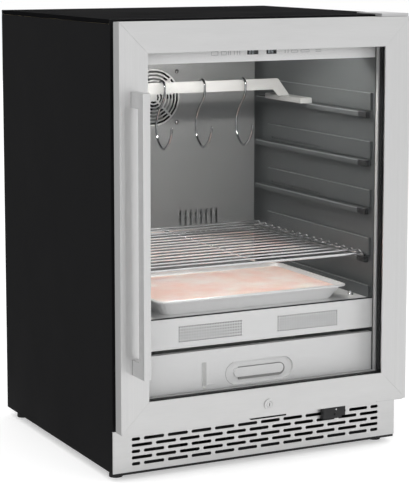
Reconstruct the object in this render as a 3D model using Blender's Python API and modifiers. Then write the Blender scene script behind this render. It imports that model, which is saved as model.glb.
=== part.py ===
"""Dry aging cabinet: an under-counter cabinet with a glass door, made of its separate pieces.

Metres, +Z up. The origin is on the floor, under the middle of the whole object with its handle.
The door faces -Y, its handle is on the -X side and its hinges are on the +X side.
"""
import math

import bmesh
import bpy
from mathutils import Matrix, Vector

for old_object in list(bpy.data.objects):
    bpy.data.objects.remove(old_object, do_unlink=True)

# Overall sizes
overall_width = 0.595
door_front_to_rear = 0.570
cabinet_height = 0.827
foot_height = 0.0155
handle_reach = 0.050

# Sheet metal and fits
sheet = 0.0012
seat = 0.0003
cut_overrun = 0.004
weld = 0.00002

# Door outline
door_bottom = 0.096
door_top_gap = 0.0035
door_top = cabinet_height - door_top_gap
door_border = 0.0545
door_standoff = 0.038

# Cavity between the liner walls
side_wall = 0.050
ceiling_wall = 0.051
rear_wall = 0.052
duct_room = 0.026
platform_rise = 0.047
cavity_width = overall_width - 2 * side_wall
cavity_floor = 0.147
cavity_top = cabinet_height - ceiling_wall
cavity_back = door_front_to_rear - rear_wall
cover_depth = cavity_back - duct_room
step_depth = 0.319
drawer_room = 0.140
platform_height = cavity_floor + drawer_room
step_height = platform_height - platform_rise

half_width = overall_width / 2
half_cavity = cavity_width / 2
door_front = handle_reach - (door_front_to_rear + handle_reach) / 2


def behind(depth):
    """World Y of a place this far behind the front face of the door."""
    return door_front + depth


body_front = behind(door_standoff)
body_rear = behind(door_front_to_rear)

# Collections and materials
parts = bpy.data.collections.new("dry_aging_cabinet")
cutters = bpy.data.collections.new("cutters")
for collection in (parts, cutters):
    bpy.context.scene.collection.children.link(collection)


def finish_named(name, colour, roughness, metallic, alpha=1):
    """A Principled material of one colour."""
    material = bpy.data.materials.new(name)
    material.use_nodes = True
    shader = material.node_tree.nodes["Principled BSDF"]
    shader.inputs["Base Color"].default_value = (*colour, 1)
    shader.inputs["Roughness"].default_value = roughness
    shader.inputs["Metallic"].default_value = metallic
    shader.inputs["Alpha"].default_value = alpha
    return material


brushed_steel = finish_named("brushed_steel", (0.60, 0.60, 0.60), 0.35, 0.9)
black_paint = finish_named("black_paint", (0.012, 0.012, 0.013), 0.45, 0)
grey_liner = finish_named("grey_liner", (0.16, 0.17, 0.17), 0.40, 0.5)
black_plastic = finish_named("black_plastic", (0.02, 0.02, 0.02), 0.50, 0)
black_rubber = finish_named("black_rubber", (0.015, 0.015, 0.015), 0.70, 0)
clear_glass = finish_named("clear_glass", (0.90, 0.95, 0.94), 0.03, 0, 0.2)
bright_wire = finish_named("bright_wire", (0.70, 0.70, 0.70), 0.18, 1)
cast_aluminium = finish_named("cast_aluminium", (0.62, 0.62, 0.63), 0.40, 1)
yellow_foam = finish_named("yellow_foam", (0.75, 0.62, 0.35), 0.95, 0)
white_plastic = finish_named("white_plastic", (0.75, 0.75, 0.74), 0.45, 0)
pink_salt = finish_named("pink_salt", (0.80, 0.52, 0.45), 0.85, 0)
green_board = finish_named("green_board", (0.03, 0.20, 0.08), 0.50, 0)

# Directions in which an outline drawn in X and Y is laid out
OUTLINE_TURNS = {
    "Z": Matrix.Identity(4),
    "Y": Matrix.Rotation(math.radians(90), 4, "X"),
    "X": Matrix(((0, 0, 1, 0), (1, 0, 0, 0), (0, 1, 0, 0), (0, 0, 0, 1))),
}


def from_bmesh(name, bm, collection=parts):
    """A new object from finished mesh data, facing outwards."""
    bmesh.ops.recalc_face_normals(bm, faces=bm.faces)
    mesh = bpy.data.meshes.new(name)
    bm.to_mesh(mesh)
    bm.free()
    obj = bpy.data.objects.new(name, mesh)
    collection.objects.link(obj)
    return obj


def settle(obj, collection=parts):
    """Turn an object with its modifiers or curve into one closed, outward-facing mesh object."""
    name = obj.name
    bpy.context.view_layer.update()
    evaluated = obj.evaluated_get(bpy.context.evaluated_depsgraph_get())
    mesh = bpy.data.meshes.new_from_object(evaluated)
    bm = bmesh.new()
    bm.from_mesh(mesh)
    bpy.data.meshes.remove(mesh)
    bmesh.ops.transform(bm, matrix=obj.matrix_world, verts=bm.verts)
    bmesh.ops.remove_doubles(bm, verts=bm.verts, dist=weld)
    bpy.data.objects.remove(obj, do_unlink=True)
    return from_bmesh(name, bm, collection)


def paint(obj, material, smooth_angle=40):
    """Give an object its one material and smooth its round faces."""
    obj.data.materials.clear()
    obj.data.materials.append(material)
    obj.data.shade_smooth()
    obj.data.set_sharp_from_angle(angle=math.radians(smooth_angle))
    return obj


def block(name, x, y, z, collection=parts):
    """A box between two places on each axis, from Blender's cube."""
    bm = bmesh.new()
    bmesh.ops.create_cube(bm, size=1)
    size = Vector((x[1] - x[0], y[1] - y[0], z[1] - z[0]))
    middle = Vector((x[1] + x[0], y[1] + y[0], z[1] + z[0])) / 2
    bmesh.ops.scale(bm, vec=size, verts=bm.verts)
    bmesh.ops.translate(bm, vec=middle, verts=bm.verts)
    return from_bmesh(name, bm, collection)


def rod(name, radius, start, end, sides=24, end_radius=None, collection=parts):
    """A round bar or cone between two points."""
    start = Vector(start)
    run = Vector(end) - start
    bm = bmesh.new()
    top_radius = radius if end_radius is None else end_radius
    bmesh.ops.create_cone(
        bm, cap_ends=True, segments=sides, radius1=radius, radius2=top_radius, depth=run.length
    )
    turn = run.to_track_quat("Z", "Y").to_matrix().to_4x4()
    bmesh.ops.transform(bm, matrix=Matrix.Translation(start + run / 2) @ turn, verts=bm.verts)
    return from_bmesh(name, bm, collection)


def prism(name, outlines, axis, span, collection=parts):
    """Flat outlines filled and drawn out along an axis; a second outline inside the first is a hole."""
    data = bpy.data.curves.new(name, "CURVE")
    data.dimensions = "2D"
    data.fill_mode = "BOTH"
    data.extrude = (span[1] - span[0]) / 2
    for outline in outlines:
        spline = data.splines.new("POLY")
        spline.points.add(len(outline) - 1)
        for point, (u, v) in zip(spline.points, outline):
            point.co = (u, v, 0, 1)
        spline.use_cyclic_u = True
    obj = bpy.data.objects.new(name, data)
    collection.objects.link(obj)
    middle = Vector((0, 0, 0))
    middle["XYZ".index(axis)] = (span[0] + span[1]) / 2
    obj.matrix_world = Matrix.Translation(middle) @ OUTLINE_TURNS[axis]
    return settle(obj, collection)


def rectangle(u, v, corner=0, steps=4):
    """Outline of a rectangle, with round corners where a radius is given."""
    if corner == 0:
        return [(u[0], v[0]), (u[1], v[0]), (u[1], v[1]), (u[0], v[1])]
    outline = []
    centres = (
        (u[1] - corner, v[0] + corner, -90),
        (u[1] - corner, v[1] - corner, 0),
        (u[0] + corner, v[1] - corner, 90),
        (u[0] + corner, v[0] + corner, 180),
    )
    for centre_u, centre_v, first in centres:
        for step in range(steps + 1):
            angle = math.radians(first + 90 * step / steps)
            outline.append((centre_u + corner * math.cos(angle), centre_v + corner * math.sin(angle)))
    return outline


def circle(radius, sides, centre=(0, 0)):
    """Outline of a circle."""
    outline = []
    for step in range(sides):
        angle = 2 * math.pi * step / sides
        outline.append((centre[0] + radius * math.cos(angle), centre[1] + radius * math.sin(angle)))
    return outline


def folded(name, path, axis, span, thickness=sheet):
    """Sheet metal folded along a path of mid-plane points and drawn out along an axis."""
    bm = bmesh.new()
    points = [bm.verts.new((u, v, 0)) for u, v in path]
    edges = [bm.edges.new(pair) for pair in zip(points[:-1], points[1:])]
    grown = bmesh.ops.extrude_edge_only(bm, edges=edges)["geom"]
    far_side = [item for item in grown if isinstance(item, bmesh.types.BMVert)]
    bmesh.ops.translate(bm, vec=(0, 0, span[1] - span[0]), verts=far_side)
    bmesh.ops.translate(bm, vec=(0, 0, span[0]), verts=bm.verts)
    bmesh.ops.transform(bm, matrix=OUTLINE_TURNS[axis], verts=bm.verts)
    if axis == "Y":
        bmesh.ops.scale(bm, vec=(1, -1, 1), verts=bm.verts)
    obj = from_bmesh(name, bm)
    thicken(obj, thickness, 0)
    return settle(obj)


def thicken(obj, thickness, offset):
    """Give an open surface its thickness."""
    shell = obj.modifiers.new("thickness", "SOLIDIFY")
    shell.thickness = thickness
    shell.offset = offset
    shell.use_even_offset = True


def open_tray(name, x, y, z, open_side, thickness=sheet, taper=0, corner=0):
    """A box without its top or bottom face, made of sheet; its floor is smaller by the taper."""
    bm = bmesh.new()
    bmesh.ops.create_cube(bm, size=1)
    bmesh.ops.scale(bm, vec=(x[1] - x[0], y[1] - y[0], z[1] - z[0]), verts=bm.verts)
    wanted = 1 if open_side == "top" else -1
    lid = [face for face in bm.faces if face.normal.z * wanted > 0.5]
    bmesh.ops.delete(bm, geom=lid, context="FACES_ONLY")
    if taper:
        floor_points = [point for point in bm.verts if point.co.z * wanted < 0]
        for point in floor_points:
            point.co.x -= math.copysign(taper, point.co.x)
            point.co.y -= math.copysign(taper, point.co.y)
    if corner:
        uprights = [edge for edge in bm.edges if abs(edge.verts[0].co.z - edge.verts[1].co.z) > taper]
        bmesh.ops.bevel(bm, geom=uprights, offset=corner, segments=3, profile=0.5, affect="EDGES")
    middle = Vector((x[1] + x[0], y[1] + y[0], z[1] + z[0])) / 2
    bmesh.ops.translate(bm, vec=middle, verts=bm.verts)
    mesh = bpy.data.meshes.new(name)
    bm.to_mesh(mesh)
    bm.free()
    obj = bpy.data.objects.new(name, mesh)
    parts.objects.link(obj)
    thicken(obj, thickness, -1)
    return settle(obj)


def wire(name, points, radius, closed=False, resolution=2, collection=parts):
    """Round wire or tube along points."""
    data = bpy.data.curves.new(name, "CURVE")
    data.dimensions = "3D"
    data.bevel_depth = radius
    data.bevel_resolution = resolution
    data.use_fill_caps = not closed
    spline = data.splines.new("POLY")
    spline.points.add(len(points) - 1)
    for point, place in zip(spline.points, points):
        point.co = (*place, 1)
    spline.use_cyclic_u = closed
    obj = bpy.data.objects.new(name, data)
    collection.objects.link(obj)
    return settle(obj, collection)


def turned(name, profile, place, axis="Z", steps=24):
    """A turned solid from a profile of (radius, height) points that starts and ends on the axis."""
    data = bpy.data.meshes.new(name)
    data.from_pydata([(radius, 0, height) for radius, height in profile],
                     [(step, step + 1) for step in range(len(profile) - 1)], [])
    obj = bpy.data.objects.new(name, data)
    parts.objects.link(obj)
    screw = obj.modifiers.new("turn", "SCREW")
    screw.steps = steps
    screw.render_steps = steps
    screw.use_merge_vertices = True
    screw.merge_threshold = weld
    turns = {"Z": Matrix.Identity(4), "Y": Matrix.Rotation(math.radians(-90), 4, "X")}
    obj.matrix_world = Matrix.Translation(Vector(place)) @ turns[axis]
    return settle(obj)


def joined(name, objects, collection=parts):
    """Put several separate meshes into one object without changing them."""
    bm = bmesh.new()
    for obj in objects:
        bm.from_mesh(obj.data)
        bpy.data.objects.remove(obj, do_unlink=True)
    return from_bmesh(name, bm, collection)


def boolean(target, tool, operation):
    """Cut or join a target with one tool and keep only the result."""
    name = target.name
    step = target.modifiers.new(operation.lower(), "BOOLEAN")
    step.operation = operation
    step.object = tool
    step.solver = "EXACT"
    tool.hide_render = True
    tool.display_type = "WIRE"
    result = settle(target)
    bpy.data.objects.remove(tool, do_unlink=True)
    result.name = name
    return result


def cut(target, *tools):
    """Take each tool's shape out of the target."""
    for tool in tools:
        target = boolean(target, tool, "DIFFERENCE")
    return target


def fuse(target, *pieces):
    """Weld pieces that overlap the target into one body with it."""
    for piece in pieces:
        target = boolean(target, piece, "UNION")
    return target


def soften(obj, width, segments=2):
    """Round the sharp edges of a finished solid."""
    edge = obj.modifiers.new("edge", "BEVEL")
    edge.width = width
    edge.segments = segments
    edge.limit_method = "ANGLE"
    edge.angle_limit = math.radians(40)
    return settle(obj)


def centred(size, middle=0):
    """Two ends of a length about its middle."""
    return (middle - size / 2, middle + size / 2)


def pill_cutter(name, x, depth, height, middle, sides=8):
    """A slot with round ends, lying along X, to be cut through sheet that faces -Y."""
    radius = height / 2
    half_run = (x[1] - x[0]) / 2 - radius
    bm = bmesh.new()
    bmesh.ops.create_cone(
        bm, cap_ends=True, segments=sides, radius1=radius, radius2=radius, depth=depth[1] - depth[0],
        matrix=Matrix.Rotation(math.pi / sides, 4, "Z"),
    )
    for point in bm.verts:
        point.co.x += math.copysign(half_run, point.co.x)
    bmesh.ops.transform(bm, matrix=OUTLINE_TURNS["Y"], verts=bm.verts)
    place = ((x[0] + x[1]) / 2, (depth[0] + depth[1]) / 2, middle)
    bmesh.ops.translate(bm, vec=place, verts=bm.verts)
    return from_bmesh(name, bm, cutters)


# Outer casing
lid_skirt = 0.008
side_return = 0.012
frame_thickness = 0.0035
casing_front = body_front + frame_thickness + seat
rear_cover_top = 0.205
casing_top = cabinet_height - lid_skirt - seat


def make_side_panels():
    """Flat painted sides, each with a return folded in at the rear."""
    for name, side in (("side_panel_left", -1), ("side_panel_right", 1)):
        mid_x = side * (half_width - sheet / 2)
        mid_rear = body_rear - sheet / 2
        path = [(mid_x, casing_front), (mid_x, mid_rear), (mid_x - side * side_return, mid_rear)]
        paint(folded(name, path, "Z", (foot_height, casing_top)), black_paint)


def make_top_panel():
    """Painted lid with a short skirt that stands on the sides."""
    lid = open_tray(
        "top_panel", (-half_width, half_width), (casing_front, body_rear),
        (casing_top + seat, cabinet_height), "bottom",
    )
    lid_edge = sheet / 3
    paint(soften(lid, lid_edge), black_paint)


stiffener_margin = 0.060
stiffener_width = 0.018
stiffener_depth = 0.0025
vent_slot_count = 10
vent_slot_length = 0.060
vent_slot_height = 0.004
vent_slot_pitch = 0.011
cover_slot_bottom = 0.050
inlet_width = 0.028
inlet_height = 0.021
inlet_depth = 0.030
inlet_inset = 0.0825
inlet_x = inlet_inset - half_width
inlet_z = 0.070
rear_sheet_half = half_width - side_return - sheet - seat


def make_rear_panels():
    """Rear panel with two pressed stiffeners, and the slotted cover of the machine bay below it."""
    y = (body_rear - sheet, body_rear)
    panel = block("rear_panel", (-rear_sheet_half, rear_sheet_half), y,
                  (rear_cover_top + seat, casing_top))
    for side in (-1, 1):
        middle = side * (rear_sheet_half - stiffener_margin)
        bead = block("bead", centred(stiffener_width, middle), (y[0] - stiffener_depth, y[0] + sheet / 2),
                     (rear_cover_top + stiffener_margin, casing_top - stiffener_margin))
        panel = fuse(panel, bead)
    paint(panel, black_paint)

    cover = block("compressor_cover", (-rear_sheet_half, rear_sheet_half), y,
                  (foot_height + sheet + seat, rear_cover_top))
    slots = []
    for column in (0, 1):
        start = column * (vent_slot_length + stiffener_width)
        for row in range(vent_slot_count):
            slots.append(pill_cutter(
                "slot", (start, start + vent_slot_length), (y[0] - cut_overrun, y[1] + cut_overrun),
                vent_slot_height, cover_slot_bottom + row * vent_slot_pitch, sides=6))
    cover = cut(cover, joined("slots", slots, cutters))
    hole = block("hole", centred(inlet_width + 2 * seat, inlet_x),
                 (y[0] - cut_overrun, y[1] + cut_overrun),
                 centred(inlet_height + 2 * seat, inlet_z), cutters)
    paint(cut(cover, hole), black_paint)


inlet_wall = 0.002
inlet_pin_width = 0.002
inlet_pin_height = 0.004
inlet_pin_length = 0.014
inlet_pin_pitch = 0.007
inlet_floor = 0.008
inlet_flange = 0.003


def make_mains_inlet():
    """Recessed socket for a detachable lead, with its three flat pins."""
    y = (body_rear - inlet_depth, body_rear)
    body = block("mains_inlet", centred(inlet_width, inlet_x), y, centred(inlet_height, inlet_z))
    well = block("well", centred(inlet_width - 2 * inlet_wall, inlet_x),
                 (y[0] + inlet_floor, y[1] + cut_overrun),
                 centred(inlet_height - 2 * inlet_wall, inlet_z), cutters)
    body = cut(body, well)
    for column in (-1, 0, 1):
        lift = inlet_wall if column == 0 else -inlet_wall
        pin = block("pin", centred(inlet_pin_width, inlet_x + column * inlet_pin_pitch),
                    (y[0] + inlet_floor - inlet_wall, y[0] + inlet_floor + inlet_pin_length),
                    centred(inlet_pin_height, inlet_z + lift))
        body = fuse(body, pin)
    flange = block("flange", centred(inlet_width + 2 * inlet_flange, inlet_x),
                   (body_rear - sheet - seat - inlet_flange, body_rear - sheet - seat),
                   centred(inlet_height + 2 * inlet_flange, inlet_z))
    ring_hole = block("ring_hole", centred(inlet_width - inlet_wall, inlet_x),
                      (body_rear - sheet - seat - inlet_flange - cut_overrun, body_rear),
                      centred(inlet_height - inlet_wall, inlet_z), cutters)
    flange = cut(flange, ring_hole)
    paint(fuse(body, flange), black_plastic)


base_flange = 0.014
base_front_depth = 0.052
base_front = behind(base_front_depth)
foot_inset_x = 0.022
foot_front_depth = 0.075
foot_rear_margin = 0.032
foot_rear_depth = door_front_to_rear - foot_rear_margin
stud_radius = 0.004
foot_clearance = 0.0006
foot_pad_radius = 0.0125
foot_pad_height = 0.009
foot_hex_radius = 0.0085
stud_length = 0.036


def foot_places():
    """Name and place of each levelling foot."""
    x = half_width - foot_inset_x
    return {
        "foot_front_left": (-x, behind(foot_front_depth)),
        "foot_front_right": (x, behind(foot_front_depth)),
        "foot_rear_left": (-x, behind(foot_rear_depth)),
        "foot_rear_right": (x, behind(foot_rear_depth)),
    }


def make_base():
    """Base pan with upturned edges, and the four screwed feet whose studs pass through it."""
    inner_half = half_width - sheet - seat
    pan = open_tray("base_pan", (-inner_half, inner_half), (base_front, body_rear - sheet - seat),
                    (foot_height, foot_height + base_flange), "top")
    for name, (x, y) in foot_places().items():
        hole = rod("hole", stud_radius + foot_clearance, (x, y, 0),
                   (x, y, foot_height + base_flange), 16, collection=cutters)
        pan = cut(pan, hole)
        top = foot_height - seat
        profile = [
            (0, top + stud_length), (stud_radius, top + stud_length), (stud_radius, top),
            (foot_hex_radius, top), (foot_hex_radius, foot_pad_height),
            (foot_pad_radius, foot_pad_height - foot_pad_height / 3),
            (foot_pad_radius, 0), (0, 0),
        ]
        foot = turned(name, profile, (x, y, 0), steps=16)
        paint(foot, black_rubber)
    paint(pan, cast_aluminium)


# Kick plate
kick_top = 0.093
kick_return = 0.0034
slot_field_margin = 0.037
slot_row_pitch = 0.0114
slot_rows = 5
slot_columns = 11
slot_gap = 0.007
slot_height = 0.0064
slot_top_row = 0.0752


def make_kick_plate():
    """Stainless plate with staggered rows of slots; odd rows start and end with a short slot."""
    mid_y = body_front + sheet / 2
    plate = folded("kick_plate", [(body_front + kick_return, kick_top - sheet / 2),
                                  (mid_y, kick_top - sheet / 2), (mid_y, foot_height)],
                   "X", (-half_width, half_width))
    field = overall_width - 2 * slot_field_margin
    pitch = (field + slot_gap) / slot_columns
    length = pitch - slot_gap
    short = (length - slot_gap) / 2
    first = -field / 2
    depth = (body_front - cut_overrun, body_front + sheet + cut_overrun)
    slots = []
    for row in range(slot_rows):
        height = slot_top_row - row * slot_row_pitch
        if row % 2 == 0:
            spans = [(first, first + short)]
            start = first + short + slot_gap
            spans += [(start + n * pitch, start + n * pitch + length) for n in range(slot_columns - 1)]
            spans.append((-first - short, -first))
        else:
            spans = [(first + n * pitch, first + n * pitch + length) for n in range(slot_columns)]
        for span in spans:
            slots.append(pill_cutter("slot", span, depth, slot_height, height))
    paint(cut(plate, joined("slots", slots, cutters)), brushed_steel)


sensor_inset = 0.117
sensor_width = 0.048
sensor_x = (half_width - sensor_inset - sensor_width, half_width - sensor_inset)
sensor_z = (0.066, 0.090)
sensor_thickness = 0.0105
sensor_notch = 0.004
sensor_screw_radius = 0.0025


def make_door_sensor():
    """Small black block on the kick plate that senses the door above it."""
    y = (body_front - seat - sensor_thickness, body_front - seat)
    body = block("door_sensor", sensor_x, y, sensor_z)
    middle = (sensor_x[0] + sensor_x[1]) / 2
    top_notch = block("notch", centred(2 * sensor_notch, middle), (y[0] - cut_overrun, y[0] + sensor_notch),
                      (sensor_z[1] - sensor_notch, sensor_z[1] + cut_overrun), cutters)
    side_notch = block("notch", (sensor_x[1] - 2 * sensor_notch, sensor_x[1] + cut_overrun),
                       (y[0] - cut_overrun, y[1] + cut_overrun),
                       (sensor_z[0] - cut_overrun, sensor_z[0] + sensor_notch), cutters)
    recess = rod("recess", sensor_screw_radius, (middle, y[0] - cut_overrun, sensor_z[0] + 2 * sensor_notch),
                 (middle, y[0] + sensor_notch / 2, sensor_z[0] + 2 * sensor_notch), 12, collection=cutters)
    body = cut(body, top_notch, side_notch, recess)
    paint(body, black_plastic)


# Front frame with the window for the lock's cam
lock_height = 0.118
cam_length = 0.020
cam_width = 0.010
cam_thickness = 0.002
cam_window_margin = 0.007
frame_bottom = 0.0935


def make_front_frame():
    """Flat flange all round the cavity mouth, which the gasket seals on."""
    cavity_hole = rectangle((-half_cavity - sheet, half_cavity + sheet),
                            (cavity_floor - sheet, cavity_top + sheet))
    window = rectangle((-cam_width / 2 - cam_window_margin, cam_length + cam_window_margin),
                       centred(cam_width + cam_window_margin, lock_height))
    outside = rectangle((-half_width, half_width), (frame_bottom, cabinet_height))
    frame = prism("front_frame", [outside, cavity_hole, window], "Y",
                  (body_front, body_front + frame_thickness))
    paint(frame, black_paint)


# Insulation and liner
foam_bottom_front = 0.128
foam_rear_wall = 0.028
foam_bottom_rear = step_height - foam_rear_wall
machine_gap = 0.026
machine_depth = step_depth + machine_gap


def make_insulation():
    """Foam between the casing and the liner, stepped up over the machine bay."""
    outer_half = half_width - sheet - seat
    front = casing_front
    rear = body_rear - sheet - stiffener_depth - seat
    foam = block("insulation_foam", (-outer_half, outer_half), (front, rear),
                 (foam_bottom_front, cabinet_height - sheet - seat))
    hollow_half = half_cavity + sheet + seat
    upper = block("upper", (-hollow_half, hollow_half), (front - cut_overrun, behind(cavity_back) + sheet + 2 * seat),
                  (step_height - sheet - seat, cavity_top + sheet + seat), cutters)
    lower = block("lower", (-hollow_half, hollow_half), (front - cut_overrun, behind(step_depth) + sheet + seat),
                  (cavity_floor - sheet - seat, step_height), cutters)
    bay = block("bay", (-half_width, half_width), (behind(machine_depth), rear + cut_overrun),
                (foam_bottom_front - cut_overrun, foam_bottom_rear), cutters)
    skirt = rectangle((-half_width, half_width), (front - cut_overrun, body_rear + cut_overrun))
    inside = rectangle((-half_width + sheet + seat, half_width - sheet - seat),
                       (casing_front + sheet + seat, body_rear - sheet - stiffener_depth - seat))
    rim = prism("rim", [skirt, inside], "Z", (casing_top - seat, cabinet_height + cut_overrun), cutters)
    paint(cut(foam, upper, lower, bay, rim), yellow_foam)


rail_levels = 4
plate_drop = 0.0972
plate_above_ledge = 0.0356
lowest_ledge_rise = 0.0796
top_plate_top = cavity_top - plate_drop
ledge_top = top_plate_top - plate_above_ledge
rail_pitch = (ledge_top - platform_height - lowest_ledge_rise) / (rail_levels - 1)
plate_height = 0.0328
plate_rise = 0.005
plate_front = 0.050
plate_rear_margin = 0.045
plate_rear = cover_depth - plate_rear_margin
ledge_height = 0.0102
ledge_reach = 0.014
ledge_front = 0.057
ledge_rear_margin = 0.007
ledge_rear = cover_depth - ledge_rear_margin
rail_slot_height = 0.0035
rail_slot_depth = 0.003
rail_slot_rear_share = 0.96
rail_slot_front_share = 0.46
ledge_pocket = 0.010
ledge_wall = 0.0016


def ledge_place(level):
    """Height of the top of a shelf ledge, counted down from level 0."""
    return ledge_top - level * rail_pitch


def make_liner_wall(name, side):
    """Side wall of the cavity with its pressed rail plates and the ledges below them."""
    def across(near, far):
        """Span on X from a distance inside the wall face to one outside it."""
        return tuple(sorted((side * (half_cavity - near), side * (half_cavity + far))))

    wall = block(name, across(0, sheet), (casing_front, behind(cavity_back)), (cavity_floor, cavity_top))
    for level in range(rail_levels + 1):
        drop = level * rail_pitch
        plate_top = top_plate_top - drop
        plate_bottom = max(plate_top - plate_height, platform_height + seat)
        plate = block("plate", across(plate_rise, sheet / 2), (behind(plate_front), behind(plate_rear)),
                      (plate_bottom, plate_top))
        wall = fuse(wall, plate)
        if level == rail_levels:
            continue
        top = ledge_place(level)
        ledge = block("ledge", across(ledge_reach, sheet / 2), (behind(ledge_front), behind(ledge_rear)),
                      (top - ledge_height, top))
        pocket = block("pocket", across(ledge_reach - ledge_wall, -plate_rise),
                       (behind(ledge_front) - cut_overrun, behind(ledge_front) + ledge_pocket),
                       (top - ledge_height + ledge_wall, top - ledge_wall), cutters)
        wall = fuse(wall, cut(ledge, pocket))
        if level > 0:
            run = plate_rear - plate_front
            groove_bottom = plate_bottom + rail_slot_height
            groove = block("groove", across(plate_rise + cut_overrun, -(plate_rise - rail_slot_depth)),
                           (behind(plate_front + run * rail_slot_front_share),
                            behind(plate_front + run * rail_slot_rear_share)),
                           (groove_bottom, groove_bottom + rail_slot_height), cutters)
            wall = cut(wall, groove)
    under_step = block("under_step", across(cut_overrun, cut_overrun),
                       (behind(step_depth) + sheet, behind(cavity_back) + cut_overrun),
                       (cavity_floor - cut_overrun, step_height - sheet), cutters)
    paint(cut(wall, under_step), grey_liner)


def make_liner():
    """Walls, ceiling, rear wall and stepped floor of the cavity."""
    make_liner_wall("liner_wall_left", -1)
    make_liner_wall("liner_wall_right", 1)
    full = half_cavity + sheet
    inside = half_cavity - seat
    y = (casing_front, behind(cavity_back))
    paint(block("liner_ceiling", (-full, full), y, (cavity_top + seat, cavity_top + sheet)), grey_liner)
    back_y = (behind(cavity_back) + seat, behind(cavity_back) + sheet + seat)
    paint(block("liner_back", (-full, full), back_y, (step_height - sheet, cavity_top + sheet)), grey_liner)
    floor_mid = cavity_floor - sheet / 2
    step_mid = step_height - sheet / 2
    path = [(casing_front, floor_mid), (behind(step_depth), floor_mid),
            (behind(step_depth), step_mid), (behind(cavity_back), step_mid)]
    floor = folded("liner_floor", path, "X", (-inside, inside))
    paint(floor, grey_liner)


# Air duct: cover, grille, fan and coil
cover_margin = 0.013
cover_half = half_cavity - cover_margin
cover_bottom = platform_height + seat
fan_drop = 0.130
fan_height = cavity_top - fan_drop
grille_radius = 0.0585
grille_ring_pitch = 0.0072
grille_ring_width = 0.0027
grille_rings = 7
grille_sides = 40
grille_spoke_width = 0.004
air_slot_width = 0.0042
air_slot_pitch = 0.012
air_slot_count = 25
air_slot_plain_half = 0.054
air_slot_low = 0.053
air_slot_high = 0.122
air_slot_z = (platform_height + air_slot_low, platform_height + air_slot_high)


def make_duct_cover():
    """Back panel of the cavity with side returns, the grille's hole and upright air slots left and right."""
    front_mid = behind(cover_depth) + sheet / 2
    back = behind(cavity_back) - seat
    edge = cover_half - sheet / 2
    path = [(-edge, back), (-edge, front_mid), (edge, front_mid), (edge, back)]
    cover = folded("duct_cover", path, "Z", (cover_bottom, cavity_top - seat))
    y = (behind(cover_depth) - cut_overrun, behind(cover_depth) + sheet + cut_overrun)
    hole = rod("hole", grille_radius + seat, (0, y[0], fan_height), (0, y[1], fan_height), 48,
               collection=cutters)
    slots = []
    for column in range(air_slot_count):
        x = (column - (air_slot_count - 1) / 2) * air_slot_pitch
        if abs(x) > air_slot_plain_half:
            slots.append(block("slot", centred(air_slot_width, x), y, air_slot_z, cutters))
    cover = cut(cover, hole, joined("slots", slots, cutters))
    paint(cover, grey_liner)


def ring_sector(inner, outer, first_angle, steps):
    """Outline of a quarter-ring opening between two spokes."""
    outline = []
    for radius, order in ((outer, range(steps + 1)), (inner, range(steps, -1, -1))):
        margin = math.asin(grille_spoke_width / 2 / radius)
        for step in order:
            angle = first_angle + margin + (math.pi / 2 - 2 * margin) * step / steps
            outline.append((radius * math.cos(angle), fan_height + radius * math.sin(angle)))
    return outline


def make_fan_grille():
    """Stamped round grille: flat concentric rings carried by two crossed spokes."""
    outlines = [circle(grille_radius, grille_sides, (0, fan_height))]
    for ring in range(grille_rings):
        outer = grille_radius - ring * grille_ring_pitch - grille_ring_width
        inner = grille_radius - (ring + 1) * grille_ring_pitch
        steps = max(2, (grille_rings - ring) // 2 + 2)
        for quarter in range(4):
            outlines.append(ring_sector(inner, outer, math.pi / 4 + quarter * math.pi / 2, steps))
    grille = prism("fan_grille", outlines, "Y", (behind(cover_depth), behind(cover_depth) + sheet))
    paint(grille, grey_liner)


fan_size = 0.120
fan_bore = 0.0565
fan_front = cover_depth + sheet + seat
fan_length = 0.0215
strut_width = 0.006
strut_length = 0.003
motor_radius = 0.018
shaft_radius = 0.002
shaft_clearance = 0.0003
impeller_hub_radius = 0.019
impeller_tip_gap = 0.0015
impeller_length = 0.012
blade_count = 7
blade_thickness = 0.0016
blade_pitch_angle = 38
blade_share = 0.85
screw_share = 0.4375


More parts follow.
